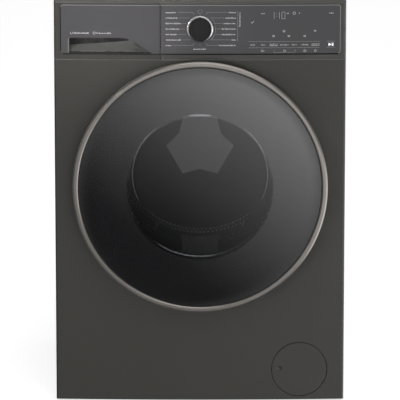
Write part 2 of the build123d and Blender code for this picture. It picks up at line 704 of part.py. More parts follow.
def door_hinge_pin():
    """Pin through both lugs and the knuckle."""
    reach = KNUCKLE_HALF + LUG_HEIGHT + 1.5
    pin = rod_z(HINGE_PIN_R, AXIS_Z - reach, AXIS_Z + reach, HINGE_X, HINGE_Y)
    return pin + rod_z(HINGE_PIN_R + 1.2, AXIS_Z + reach, AXIS_Z + reach + 1.2, HINGE_X, HINGE_Y)


def door_latch_hook():
    """Hook on the door that enters the lock."""
    hook_end = PANEL_MID_Y + 24
    hook = block(HOOK_X - 3.5, HOOK_X + 3.5, DOOR_BACK_Y - 9, hook_end, AXIS_Z - 9, AXIS_Z + 9)
    hook -= block(HOOK_X - 4, HOOK_X + 1, hook_end - 11, hook_end - 4, AXIS_Z - 10, AXIS_Z + 10)
    return hook


def door_lock():
    """Lock box behind the front panel, with a slot for the hook."""
    y0 = panel_y(HOOK_X + 20) + SHEET + 0.5
    lock = block(HOOK_X - 14, HOOK_X + 20, y0, LOCK_Y1, AXIS_Z - 38, AXIS_Z + 38)
    slot_y1 = PANEL_MID_Y + 27
    lock -= block(HOOK_X - SLOT_W / 2, HOOK_X + SLOT_W / 2, y0 - 1, slot_y1,
                  AXIS_Z - SLOT_H / 2, AXIS_Z + SLOT_H / 2)
    return lock


# ---- Gasket, tub and what hangs from it ----------------------------------------------
GASKET_T = 2.6
FLANGE_W = 10.0
HUB_Y1 = 214.0
SUMP_X = 120.0
SUMP_Y = -20.0
SUMP_Z = 206.0
SUMP_BORE_R = 19.0
WEIGHT_Y0 = -246.0
WEIGHT_R = 190.0            # inner edge of the front counterweights
WEIGHT_SPAN = 110.0         # degrees
TOP_WEIGHT_XS = (-70.0, 140.0)
TOP_WEIGHT_YS = (TUB_SPLIT_Y + 12.0, 142.0)
TOP_WEIGHT_ZS = (640.0, 772.0)
SPRING_WIRE_R = 1.9
SPRING_COIL_R = 11.0
SPRING_TOP = 838.6
SPRING_LOW = 662.0
DAMPER_TOP = 242.0
DAMPER_LOW = 60.0
PISTON_R = 10.5
HEATER_R = 246.0
HEATER_X = 26.0
HEATER_Y1 = 90.0
HEATER_TERMINAL = 14.0      # how far the ends stand out in front of the tub
HEATER_TUBE_R = 3.2


def door_gasket():
    """Rubber bellows between the front panel and the tub, with one deep fold."""
    t = GASKET_T
    y = PANEL_MID_Y + 2.2
    lip_r = PANEL_OPENING_R - SHEET - 0.4
    collar_r = TUB_MOUTH_R - 0.4
    return spun([
        (lip_r, y),
        (lip_r, y + 13),
        (PANEL_OPENING_R + 4, y + 14),
        (PANEL_OPENING_R + 4, y + 14 + t),
        (lip_r, y + 15 + t),
        (lip_r + 2, y + 30),
        (collar_r, TUB_Y0 - 10),
        (collar_r, TUB_Y0 + 3),
        (collar_r - t, TUB_Y0 + 3),
        (collar_r - t, TUB_Y0 - 9),
        (lip_r - t, y + 31),
        (lip_r - t - 1, y + 17),
        (GASKET_R + t, y + 33),
        (GASKET_R, y + 32),
        (GASKET_R, y + 14),
        (GASKET_R + 8, y + 9),
        (GASKET_R + 9, y + 10 + t),
        (GASKET_R + t, y + 14 + t),
        (GASKET_R + t + 1, y + 25),
        (lip_r - t - 1, y + 11),
        (lip_r - t, y),
    ])


def gasket_clamp():
    """Spring wire that holds the gasket on the panel's lip, with its tension coil."""
    y = PANEL_MID_Y + 9.0
    radius = PANEL_OPENING_R + 2.0
    wire = Pos(0, y, AXIS_Z) * Rot(90, 0, 0) * Torus(radius, 1.2)
    return wire + rod_x(3.0, -14, 14, y, AXIS_Z - radius - 1.5)


def tub_inside():
    """The space inside the tub."""
    return rod_y(TUB_R + 1, TUB_Y0 - 40, TUB_Y1 + 60)


def tub_front():
    """Front half of the tub, with the collar for the gasket."""
    r, w = TUB_R, TUB_WALL
    shell = spun([
        (TUB_MOUTH_R, TUB_Y0 - 8),
        (TUB_MOUTH_R + w, TUB_Y0 - 8),
        (TUB_MOUTH_R + w, TUB_Y0),
        (r + w, TUB_Y0),
        (r + w, TUB_SPLIT_Y - 8),
        (r + w + FLANGE_W, TUB_SPLIT_Y - 8),
        (r + w + FLANGE_W, TUB_SPLIT_Y - 0.3),
        (r, TUB_SPLIT_Y - 0.3),
        (r, TUB_Y0 + w),
        (TUB_MOUTH_R, TUB_Y0 + w),
    ])
    heater_z = AXIS_Z - HEATER_R
    return shell - block(-HEATER_X - 8, HEATER_X + 8, TUB_Y0 - 1, TUB_Y0 + w + 1, heater_z - 4, heater_z + 8)


def tub_lugs():
    """Lugs for the springs, the dampers and the motor, and the sump's spigot."""
    lugs = rod_z(SUMP_BORE_R + TUB_WALL, SUMP_Z, AXIS_Z - 180, SUMP_X, SUMP_Y)
    for side in (-1, 1):
        x = side * SPRING_X
        lugs += block(x - 5, x + 5, SPRING_Y - 12, SPRING_Y + 12, 560, SPRING_LOW - 3)
        x = side * DAMPER_X
        lugs += block(x - 12, x + 12, DAMPER_Y - 9, DAMPER_Y + 9, DAMPER_TOP, 300)
        x = MOTOR_X + side * MOTOR_EAR_X
        lugs += block(x - 8, x + 8, MOTOR_Y0 + 4, MOTOR_Y0 + 38, MOTOR_Z + MOTOR_EAR_TOP, 260)
    return lugs - tub_inside()


def tub_rear():
    """Rear half of the tub with the bearing hub, stiffening ribs and lugs."""
    r, w = TUB_R, TUB_WALL
    bore_r = BEARING_OUT_R + 0.03
    seal_r = SHAFT_R + 6
    shell = spun([
        (r, TUB_SPLIT_Y),
        (r + w + FLANGE_W, TUB_SPLIT_Y),
        (r + w + FLANGE_W, TUB_SPLIT_Y + 8),
        (r + w, TUB_SPLIT_Y + 8),
        (r + w, TUB_Y1),
        (HUB_R, TUB_Y1),
        (HUB_R, HUB_Y1),
        (bore_r, HUB_Y1),
        (bore_r, TUB_Y1 - w + 1),
        (seal_r, TUB_Y1 - w + 1),
        (seal_r, TUB_Y1 - w),
        (r, TUB_Y1 - w),
    ])
    for index in range(10):
        rib = Rot(0, index * 36 + 18, 0) * block(HUB_R - 1, r - 6, TUB_Y1 - 1, TUB_Y1 + 16, -2, 2)
        shell += Pos(0, 0, AXIS_Z) * rib
    shell += tub_lugs()
    return shell - rod_z(SUMP_BORE_R, SUMP_Z - 5, AXIS_Z - 175, SUMP_X, SUMP_Y)


def ring_sector(inner, outer, y0, y1, middle_deg, span_deg):
    """Part of a flat ring round the drum axis."""
    ring = tube_y(outer, inner, y0, y1)
    reach = outer * 2
    half = math.radians(span_deg / 2)
    wedge = make_face(Polyline((0, 0), (reach * math.cos(half), reach * math.sin(half)),
                               (reach * math.cos(half), -reach * math.sin(half)), close=True))
    wedge = Pos(0, AXIS_Z) * Rot(0, 0, middle_deg) * wedge
    return ring & plate_y(wedge, y0 - 1, y1 + 1)


def counterweights_front():
    """Two cast crescents on the tub's front."""
    return Compound(children=[
        ring_sector(WEIGHT_R, 243, WEIGHT_Y0, TUB_Y0 - 0.5, 90, WEIGHT_SPAN),
        ring_sector(WEIGHT_R, 232, WEIGHT_Y0, TUB_Y0 - 0.5, 270, WEIGHT_SPAN),
    ])


def counterweight_top():
    """Concrete block bolted on top of the tub, hollowed to its round."""
    slab = block(*TOP_WEIGHT_XS, *TOP_WEIGHT_YS, *TOP_WEIGHT_ZS)
    slab = fillet(slab.edges().filter_by(Axis.Z), 12.0)
    return slab - rod_y(TUB_R + TUB_WALL + 0.5, -300, 300)


def heater_element():
    """Sheathed loop between tub and drum, with its mounting plate and terminals."""
    z = AXIS_Z - HEATER_R + 1.6
    y0, y1 = TUB_Y0 - HEATER_TERMINAL, HEATER_Y1
    loop = FilletPolyline((-HEATER_X, y0, z), (-HEATER_X, y1, z), (HEATER_X, y1, z),
                          (HEATER_X, y0, z), radius=HEATER_X - 1)
    tube = sweep(Plane(origin=loop @ 0, z_dir=loop % 0) * Circle(HEATER_TUBE_R), loop)
    plate = block(-HEATER_X - 12, HEATER_X + 12, TUB_Y0 - 3.4, TUB_Y0 - 0.4, z - 9, z + 10)
    return tube + plate


def tub_bearings():
    """Two sealed ball bearings pressed into the hub."""
    races = []
    for y in BEARING_YS:
        race = tube_y(BEARING_OUT_R, SHAFT_R + 0.06, y, y + BEARING_W)
        for face_y in (y - 1, y + BEARING_W - 0.6):
            race -= tube_y(BEARING_OUT_R - 3, SHAFT_R + 3.5, face_y, face_y + 1.6)
        races.append(race)
    return Compound(children=races)


def shaft_seal():
    """Lip seal ahead of the bearings."""
    return tube_y(SHAFT_R + 5.9, SHAFT_R + 0.08, TUB_Y1 - TUB_WALL + 0.1, TUB_Y1 - TUB_WALL + 0.9)


def damper_rods():
    """Two damper rods that hang from the tub, each with a piston."""
    z0 = DAMPER_LOW + 25
    rod = rod_z(5, z0, DAMPER_TOP - 0.4) + rod_z(PISTON_R, z0, z0 + 35)
    return repeat(rod, [(side * DAMPER_X, DAMPER_Y, 0) for side in (-1, 1)])


def damper_cylinders():
    """Two damper cylinders that stand in the base."""
    z1 = DAMPER_LOW + 110
    body = rod_z(PISTON_R + 3.5, DAMPER_LOW, z1) - rod_z(PISTON_R + 0.5, DAMPER_LOW + 5, z1 + 2)
    body += block(-12, 12, -9, 9, BASE_Z0 + 4.4, DAMPER_LOW + 1)
    return repeat(body, [(side * DAMPER_X, DAMPER_Y, 0) for side in (-1, 1)])


def suspension_springs():
    """Two long springs between the front crossbar and the tub's lugs."""
    turns_z0, turns_z1 = SPRING_LOW + 16, SPRING_TOP - 16
    wire_path = Pos(0, 0, turns_z0) * Helix(5.2, turns_z1 - turns_z0, SPRING_COIL_R)
    start = Plane(origin=wire_path @ 0, z_dir=wire_path % 0)
    spring = sweep(start * Circle(SPRING_WIRE_R), wire_path)
    for z, end in ((turns_z0 - 1, SPRING_LOW), (turns_z1 + 1, SPRING_TOP)):
        low, high = min(z, end), max(z, end)
        spring += rod_z(SPRING_WIRE_R, low, high, 0, 0)
        spring += rod_z(SPRING_COIL_R + 1, z - 2, z + 2, 0, 0)
    return repeat(spring, [(side * SPRING_X, SPRING_Y, 0) for side in (-1, 1)])


# ---- Drum and drive ------------------------------------------------------------------
DRUM_BACK_T = 2.0
STAR_R = 75.0
STAR_WAIST_R = 54.0
STAR_PROUD = 7.0
ARM_T = 8.0
LIFTER_H = 42.0
LIFTER_CREST = 24.0
LIFTER_W = 62.0
LIFTER_Y0 = -160.0
LIFTER_Y1 = 140.0
BELT_T = 3.4
SHAFT_Y1 = 246.0
ROTOR_R = 7.0


def drum_shell():
    """Perforated cylinder of the drum, modelled without its small holes."""
    return tube_y(DRUM_R, DRUM_R - DRUM_SHEET, DRUM_Y0 + 2, DRUM_Y1 - DRUM_BACK_T)


def drum_front():
    """Front of the drum with a rolled mouth."""
    y = DRUM_Y0
    inner_r = DRUM_R - DRUM_SHEET - 0.2
    return spun([
        (MOUTH_R, y + 9),
        (MOUTH_R, y + 2),
        (MOUTH_R + 4, y - 1),
        (inner_r - 12, y + 4),
        (inner_r, y + 12),
        (inner_r, y + 14),
        (inner_r - 12, y + 6),
        (MOUTH_R + 5, y + 1.5),
        (MOUTH_R + 1.5, y + 3),
        (MOUTH_R + 1.5, y + 9),
    ])


def drum_back():
    """Back of the drum, with a three pointed star raised at its middle."""
    y = DRUM_Y1
    corners = []
    for lobe in (90, 210, 330):
        for turn, radius in ((-29, STAR_R), (29, STAR_R), (60, STAR_WAIST_R)):
            angle = math.radians(lobe + turn)
            corners.append((radius * math.cos(angle), AXIS_Z + radius * math.sin(angle)))
    star = make_face(Polyline(*corners, close=True))
    disc = rod_y(DRUM_R - DRUM_SHEET - 0.2, y - DRUM_BACK_T, y)
    return disc + plate_y(star, y - STAR_PROUD, y - 1)


def drum_lifters():
    """Three paddles that lift the load."""
    foot_r = DRUM_R - DRUM_SHEET - 0.4
    foot_z, crest_z = -foot_r + 2.5, -foot_r + LIFTER_H
    outline = make_face(Polyline((-LIFTER_W / 2, foot_z), (-LIFTER_CREST / 2, crest_z),
                                 (LIFTER_CREST / 2, crest_z), (LIFTER_W / 2, foot_z), close=True))
    outline = fillet(outline.vertices().group_by(Axis.Y)[-1], 11.0)
    paddle = plate_y(outline, LIFTER_Y0, LIFTER_Y1) & rod_y(foot_r, LIFTER_Y0 - 1, LIFTER_Y1 + 1, 0, 0)
    turns = [Pos(0, 0, AXIS_Z) * Rot(0, index * 120, 0) * paddle for index in range(3)]
    return Compound(children=turns)


def drum_spider():
    """Three armed casting with the drum's shaft."""
    y0 = DRUM_Y1 + 0.5
    spider = rod_y(34, y0, y0 + ARM_T)
    for index in range(3):
        arm = block(0, DRUM_R - 6, y0, y0 + ARM_T, -13, 13)
        spider += Pos(0, 0, AXIS_Z) * Rot(0, index * 120 + 60, 0) * arm
    return spider + rod_y(SHAFT_R, y0 + 2, SHAFT_Y1)


def drum_pulley():
    """Spoked pulley on the end of the drum shaft."""
    y0, y1 = PULLEY_Y - BELT_W / 2 - 1.5, PULLEY_Y + BELT_W / 2 + 1.5
    wheel = tube_y(PULLEY_R, PULLEY_R - 9, y0, y1)
    wheel += tube_y(28, SHAFT_R + 0.02, y0, y1)
    for index in range(6):
        spoke = block(26, PULLEY_R - 8, PULLEY_Y - 3, PULLEY_Y + 3, -7, 7)
        wheel += Pos(0, 0, AXIS_Z) * Rot(0, index * 60, 0) * spoke
    return wheel


def belt_loop(clearance):
    """Outline round both pulleys."""
    big = Pos(0, AXIS_Z) * Circle(PULLEY_R + clearance)
    small = Pos(MOTOR_X, MOTOR_Z) * Circle(MOTOR_PULLEY_R + clearance)
    return make_hull(big.edges() + small.edges())


def drive_belt():
    """Flat ribbed belt from the motor to the drum pulley."""
    band = belt_loop(0.3 + BELT_T) - belt_loop(0.3)
    return plate_y(band, PULLEY_Y - BELT_W / 2, PULLEY_Y + BELT_W / 2)


def motor_body():
    """Motor frame and stator, with the two ears that hang from the tub."""
    body = rod_y(MOTOR_R, MOTOR_Y0, MOTOR_Y1, MOTOR_X, MOTOR_Z)
    body = fillet(body.edges(), 6.0)
    body += rod_y(22, MOTOR_Y1 - 1, MOTOR_Y1 + 8, MOTOR_X, MOTOR_Z)
    for side in (-1, 1):
        x = MOTOR_X + side * MOTOR_EAR_X
        ear_z1 = MOTOR_Z + MOTOR_EAR_TOP - 0.5
        body += block(x - 7, x + 7, MOTOR_Y0 + 6, MOTOR_Y0 + 36, MOTOR_Z + 20, ear_z1)
    for index in range(MOTOR_GROOVES):
        groove = block(MOTOR_R - 3, MOTOR_R + 5, MOTOR_Y0 + 16, MOTOR_Y1 - 16, -3, 3)
        turn = (index + 0.5) * 360 / MOTOR_GROOVES
        body -= Pos(MOTOR_X, 0, MOTOR_Z) * Rot(0, turn, 0) * groove
    return body - rod_y(ROTOR_R + 0.05, ROTOR_Y0 - 1, MOTOR_Y1 + 10, MOTOR_X, MOTOR_Z)


def motor_pulley():
    """Rotor shaft with its small pulley."""
    shaft = rod_y(ROTOR_R, ROTOR_Y0, PULLEY_Y + 9, MOTOR_X, MOTOR_Z)
    y0, y1 = PULLEY_Y - BELT_W / 2, PULLEY_Y + BELT_W / 2
    shaft += rod_y(MOTOR_PULLEY_R, y0 - 2, y1 + 2, MOTOR_X, MOTOR_Z)
    return shaft + rod_y(MOTOR_PULLEY_R + 5, y0 - 3.5, y0 - 1, MOTOR_X, MOTOR_Z)


# ---- Water ---------------------------------------------------------------------------
PUMP_Y0 = -150.0
PUMP_Y1 = -60.0
VOLUTE_R = 41.0
PUMP_MOTOR_R = 30.0
DRAIN_STUB_X = 256.0
CAGE_R = 26.0
HOSE_WALL = 2.5
STUB_R = 14.0
STUB_TOP = 132.0
STUB_Y = -172.0
DRAIN_HOSE_R = 10.5
HOSE_BEND_Z = 168.0
OUTLET_HOSE_Z0 = 668.0
DRAIN_WALL_X = 276.0
DRAIN_BACK_Y = 250.0
NOTCH_REACH = 41.3
NOTCH_R = 4.6
NOTCH_LOW = 26.6            # where the cover is cut back round its pin


def pump_body():
    """Drain pump: filter barrel, volute, motor and two hose stubs."""
    y0 = PANEL_MID_Y + 27.5
    body = rod_y(BARREL_R, y0, PUMP_Y0 + 1, FILTER_X, FILTER_Z)
    body += rod_y(VOLUTE_R, PUMP_Y0, PUMP_Y0 + 30, FILTER_X, FILTER_Z)
    body += rod_y(PUMP_MOTOR_R, PUMP_Y0 + 28, PUMP_Y1, FILTER_X, FILTER_Z)
    body += rod_z(STUB_R, FILTER_Z, STUB_TOP, FILTER_X, STUB_Y)
    body += rod_x(DRAIN_HOSE_R, FILTER_X, DRAIN_STUB_X, PUMP_Y0 + 15, FILTER_Z)
    body += block(FILTER_X - 24, FILTER_X + 24, -210, -90, BASE_Z0 + 4.4, FILTER_Z)
    body -= rod_y(BARREL_R - 4, y0 - 1, PUMP_Y0 + 20, FILTER_X, FILTER_Z)
    body -= rod_z(STUB_R - 3, FILTER_Z, STUB_TOP + 1, FILTER_X, STUB_Y)
    return body


def pump_filter():
    """Lint filter with its grip and cage, turned by hand."""
    r = BARREL_R - 5
    y0 = PANEL_MID_Y + 16
    plug = rod_y(r, y0 + 4, y0 + 22, FILTER_X, FILTER_Z)
    plug += block(FILTER_X - r + 3, FILTER_X + r - 3, y0, y0 + 6, FILTER_Z - 4.5, FILTER_Z + 4.5)
    cage = tube_y(CAGE_R, CAGE_R - 2.5, y0 + 21, PUMP_Y0 + 4, FILTER_X, FILTER_Z)
    for index in range(8):
        window = Rot(0, index * 45, 0) * block(CAGE_R - 6, CAGE_R + 4, y0 + 30, PUMP_Y0 - 8, -5, 5)
        cage -= Pos(FILTER_X, 0, FILTER_Z) * window
    return plug + cage


def filter_cover():
    """Round cover over the pump filter, with a hinge pin and a coin notch at its left."""
    slab = front_block(0, -200, 0, 200) - front_block(2.4, -190, -10, 210, HALF_W + 10)
    cover = slab & rod_y(COVER_R, -300, -200, FILTER_X, FILTER_Z)
    rim_y = panel_y(FILTER_X)
    cover += tube_y(COVER_R - 5, COVER_R - 7, rim_y + 2.2, rim_y + 8, FILTER_X, FILTER_Z)
    notch_x = FILTER_X - NOTCH_REACH
    cover -= Pos(notch_x, panel_y(notch_x) - NOTCH_R + 1.4, FILTER_Z) * Sphere(NOTCH_R)
    for side in (-1, 1):
        z0, z1 = sorted(FILTER_Z + side * reach for reach in (NOTCH_LOW, COVER_PIN_HALF))
        cover -= block(COVER_AXIS_X - 1.8, COVER_AXIS_X + 8, rim_y - 5, rim_y + 6, z0, z1)
    return cover + cover_hinge_rod(COVER_PIN_R, COVER_PIN_HALF)


def hose(points, radii, outer, inner):
    """A hose along straight runs joined by tangent arcs."""
    path = FilletPolyline(*points, radius=radii)
    start = Plane(origin=path @ 0, z_dir=path % 0)
    return sweep(start * Circle(outer), path) - sweep(start * Circle(inner), path)


def sump_hose():
    """Bellows hose from the tub's sump to the pump."""
    points = [
        (SUMP_X, SUMP_Y, SUMP_Z - 0.5),
        (SUMP_X, SUMP_Y, HOSE_BEND_Z),
        (FILTER_X, STUB_Y, HOSE_BEND_Z),
        (FILTER_X, STUB_Y, STUB_TOP + 0.5),
    ]
    return hose(points, 24.0, SUMP_BORE_R, SUMP_BORE_R - HOSE_WALL)


def dispenser_hose():
    """Short hose from the detergent housing down to the tub."""
    hose_y = BOX_Y1 + 8
    z0, z1 = OUTLET_HOSE_Z0, BOX_Z0 - OUTLET_DROP - 0.5
    hollow = rod_z(OUTLET_R - HOSE_WALL, z0 - 1, z1 + 1, OUTLET_X, hose_y)
    return rod_z(OUTLET_R, z0, z1, OUTLET_X, hose_y) - hollow


def drain_hose():
    """Inner drain hose, up the right rear corner to its outlet."""
    y = PUMP_Y0 + 15
    points = [
        (DRAIN_STUB_X + 0.5, y, FILTER_Z),
        (DRAIN_WALL_X, y, FILTER_Z),
        (DRAIN_WALL_X, DRAIN_BACK_Y, FILTER_Z),
        (DRAIN_WALL_X, DRAIN_BACK_Y, DRAIN_Z),
        (DRAIN_X, DRAIN_BACK_Y, DRAIN_Z),
    ]
    return hose(points, [14.0, 40.0, 22.0], DRAIN_HOSE_R, DRAIN_HOSE_R - HOSE_WALL)


def drain_outlet():
    """Elbow through the rear wall that the outer drain hose is pushed on to."""
    end_y = DEPTH / 2
    flange_y = REAR_Y - SHEET - 0.3
    elbow = rod_y(SPIGOT_R, flange_y - 1, end_y, DRAIN_X, DRAIN_Z)
    elbow += rod_y(SPIGOT_R + 5.5, flange_y - 4, flange_y, DRAIN_X, DRAIN_Z)
    elbow += rod_y(SPIGOT_R - 0.5, DRAIN_BACK_Y, flange_y, DRAIN_X, DRAIN_Z)
    elbow += Pos(DRAIN_X, DRAIN_BACK_Y, DRAIN_Z) * Sphere(SPIGOT_R - 0.5)
    return elbow - rod_y(SPIGOT_R - HOSE_WALL, DRAIN_BACK_Y, end_y + 1, DRAIN_X, DRAIN_Z)


def inlet_valve():
    """Solenoid valve with its threaded inlet through the rear wall."""
    end_y = DEPTH / 2
    coil_y0, coil_y1 = REAR_Y - 44, REAR_Y - 16
    valve = rod_y(INLET_R, REAR_Y - 8, end_y, VALVE_X, VALVE_Z)
    valve += rod_y(19, REAR_Y - 8, REAR_Y - SHEET - 0.4, VALVE_X, VALVE_Z)
    valve += rod_y(14, coil_y0, REAR_Y - 7, VALVE_X, VALVE_Z)
    valve += rod_z(11, VALVE_Z - 34, VALVE_Z, VALVE_X, REAR_Y - 30)
    valve += block(VALVE_X - 16, VALVE_X + 16, coil_y0, coil_y1, VALVE_Z - 62, VALVE_Z - 30)
    valve += rod_y(6, coil_y0 - 16, coil_y0 + 1, VALVE_X, VALVE_Z)
    return valve - rod_y(INLET_R - 3.2, REAR_Y - 4, end_y + 1, VALVE_X, VALVE_Z)


def cord_gland():
    """Gland where the mains cord would enter."""
    end_y = DEPTH / 2
    gland = rod_y(GLAND_R, REAR_Y - 10, end_y, GLAND_X, GLAND_Z)
    gland += rod_y(GLAND_R + 4.4, WALL_Y1 + 0.1, WALL_Y1 + 3, GLAND_X, GLAND_Z)
    gland += rod_y(GLAND_R + 3.4, REAR_Y - 9, REAR_Y - SHEET - 0.4, GLAND_X, GLAND_Z)
    return gland - rod_y(GLAND_BORE_R, REAR_Y - 11, end_y + 1, GLAND_X, GLAND_Z)


def tub_hoses():
    """The two hoses that flex as the tub moves."""
    return Compound(children=[sump_hose(), dispenser_hose()])


def drain_line():
    """Inner drain hose and the elbow that it ends on."""
    return Compound(children=[drain_hose(), drain_outlet()])


# ---- Write every piece ---------------------------------------------------------------
PIECES = {
    "side_panels": side_panels,
    "rear_panel": rear_panel,
    "front_panel": front_panel,
    "worktop": worktop,
    "top_crossbars": top_crossbars,
    "base_tray": base_tray,
    "transit_caps": transit_caps,
    "screw_heads": screw_heads,
    "fascia_frame": fascia_frame,
    "fascia_insert": fascia_insert,
    "control_board": control_board,
    "selector_ring": selector_ring,
    "selector_cap": selector_cap,
    "drawer_front": drawer_front,
    "drawer_insert": drawer_insert,
    "detergent_drawer": detergent_drawer,
    "siphon_cap": siphon_cap,
    "dispenser_housing": dispenser_housing,
    "door_glass": door_glass,
    "door_ring": door_ring,
    "door_frame": door_frame,
    "door_bowl": door_bowl,
    "door_inner_frame": door_inner_frame,
    "door_hinge_leaf": door_hinge_leaf,
    "door_hinge_bracket": door_hinge_bracket,
    "door_hinge_pin": door_hinge_pin,
    "door_latch_hook": door_latch_hook,
    "door_lock": door_lock,
    "door_gasket": door_gasket,
    "gasket_clamp": gasket_clamp,
    "tub_front": tub_front,
    "tub_rear": tub_rear,
    "counterweights_front": counterweights_front,
    "counterweight_top": counterweight_top,
    "heater_element": heater_element,
    "tub_bearings": tub_bearings,
    "shaft_seal": shaft_seal,
    "damper_rods": damper_rods,
    "damper_cylinders": damper_cylinders,
    "suspension_springs": suspension_springs,
    "drum_shell": drum_shell,
    "drum_front": drum_front,
    "drum_back": drum_back,
    "drum_lifters": drum_lifters,
    "drum_spider": drum_spider,
    "drum_pulley": drum_pulley,
    "drive_belt": drive_belt,
    "motor_body": motor_body,
    "motor_pulley": motor_pulley,
    "pump_body": pump_body,
    "pump_filter": pump_filter,
    "filter_cover": filter_cover,
    "tub_hoses": tub_hoses,
    "drain_line": drain_line,
    "inlet_valve": inlet_valve,
    "cord_gland": cord_gland,
}
FOOT_NAMES = ("foot_front_left", "foot_front_right", "foot_rear_left", "foot_rear_right")


def main():
    """Make every piece and write one file for each."""
    os.makedirs("parts", exist_ok=True)
    for name, make in PIECES.items():
        export_step(make(), f"parts/{name}.step")
    for name, place in zip(FOOT_NAMES, foot_places()):
        export_step(foot(*place), f"parts/{name}.step")


main()
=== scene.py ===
import bpy
import bmesh
import json
import math
import random
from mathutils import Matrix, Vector


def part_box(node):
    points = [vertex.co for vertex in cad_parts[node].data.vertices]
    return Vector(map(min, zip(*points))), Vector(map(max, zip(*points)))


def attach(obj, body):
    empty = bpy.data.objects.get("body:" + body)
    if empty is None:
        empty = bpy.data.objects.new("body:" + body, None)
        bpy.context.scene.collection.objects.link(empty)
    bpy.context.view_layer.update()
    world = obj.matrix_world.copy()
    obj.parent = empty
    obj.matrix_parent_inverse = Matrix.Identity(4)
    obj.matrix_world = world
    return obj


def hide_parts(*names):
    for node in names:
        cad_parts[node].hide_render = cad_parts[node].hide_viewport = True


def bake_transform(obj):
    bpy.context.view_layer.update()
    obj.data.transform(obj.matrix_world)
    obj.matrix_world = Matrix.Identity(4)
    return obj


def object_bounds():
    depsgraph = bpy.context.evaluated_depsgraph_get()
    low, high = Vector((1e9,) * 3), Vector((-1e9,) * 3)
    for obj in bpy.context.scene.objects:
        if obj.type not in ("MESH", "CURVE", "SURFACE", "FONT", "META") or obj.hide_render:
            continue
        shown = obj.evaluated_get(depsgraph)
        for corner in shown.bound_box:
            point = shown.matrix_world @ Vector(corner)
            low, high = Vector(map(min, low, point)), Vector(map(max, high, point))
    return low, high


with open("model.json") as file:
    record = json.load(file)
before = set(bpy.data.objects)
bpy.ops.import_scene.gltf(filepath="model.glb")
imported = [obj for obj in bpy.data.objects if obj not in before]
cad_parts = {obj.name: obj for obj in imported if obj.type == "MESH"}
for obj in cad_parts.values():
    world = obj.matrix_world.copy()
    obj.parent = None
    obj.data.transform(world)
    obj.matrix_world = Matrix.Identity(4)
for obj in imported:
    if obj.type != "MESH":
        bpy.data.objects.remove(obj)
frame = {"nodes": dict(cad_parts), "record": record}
CAD_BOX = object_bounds()
NODES = frame["nodes"]
MM = 0.001

# ---- Places read from the frame ----
PANEL_LO, PANEL_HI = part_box("front_panel")
HALF_W = PANEL_HI.x
PANEL_MID_Y = PANEL_LO.y
BULGE = 8.0 * MM
RING_LO, RING_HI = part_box("door_ring")
DOOR_Z = (RING_LO.z + RING_HI.z) / 2
RING_R = RING_HI.x
INSERT_LO, INSERT_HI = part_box("fascia_insert")
DIAL_LO, DIAL_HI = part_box("selector_ring")
DIAL_Z = (DIAL_LO.z + DIAL_HI.z) / 2
DRUM_LO, DRUM_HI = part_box("drum_shell")
DRUM_R = DRUM_HI.x
MOUNTS = {mount["name"]: Vector(mount["pos_m"]) for mount in frame["record"]["mounts"]}
INSERT_PROUD = 0.5 * MM
THIN = 0.21                 # printed lines, millimetres
STROKE = 0.72               # strokes of printed words
BOLD = 0.7                  # printed icons


def front_y(x):
    """Where the convex front lies at x."""
    return PANEL_MID_Y + BULGE * (x / HALF_W) ** 2


def round_door(radius, angle, y):
    """A point at a radius from the door's and drum's common axis, its angle clockwise from straight up."""
    return (radius * math.sin(angle), y, DOOR_Z + radius * math.cos(angle))


# ---- Materials ----
def srgb(red, green, blue):
    """An 8 bit display colour as linear RGBA."""
    def linear(value):
        value /= 255
        return value / 12.92 if value <= 0.04045 else ((value + 0.055) / 1.055) ** 2.4
    return (linear(red), linear(green), linear(blue), 1.0)


def darker(color, share):
    """The same hue at a share of its brightness."""
    return tuple(value * share for value in color[:3]) + (1.0,)


class Nodes:
    """Short ways to add nodes to a tree."""

    def __init__(self, tree):
        self.tree = tree

    def add(self, kind, **settings):
        node = self.tree.nodes.new(kind)
        for key, value in settings.items():
            setattr(node, key, value)
        return node

    def link(self, source, target):
        self.tree.links.new(source, target)

    def math(self, operation, first, second=0.0):
        node = self.add("ShaderNodeMath", operation=operation)
        for socket, value in zip(node.inputs, (first, second)):
            if isinstance(value, (int, float)):
                socket.default_value = value
            else:
                self.link(value, socket)
        return node.outputs["Value"]

    def remap(self, value, low, high, start=0.0, end=1.0):
        node = self.add("ShaderNodeMapRange")
        for name, number in (("From Min", start), ("From Max", end), ("To Min", low), ("To Max", high)):
            node.inputs[name].default_value = number
        self.link(value, node.inputs["Value"])
        return node.outputs["Result"]


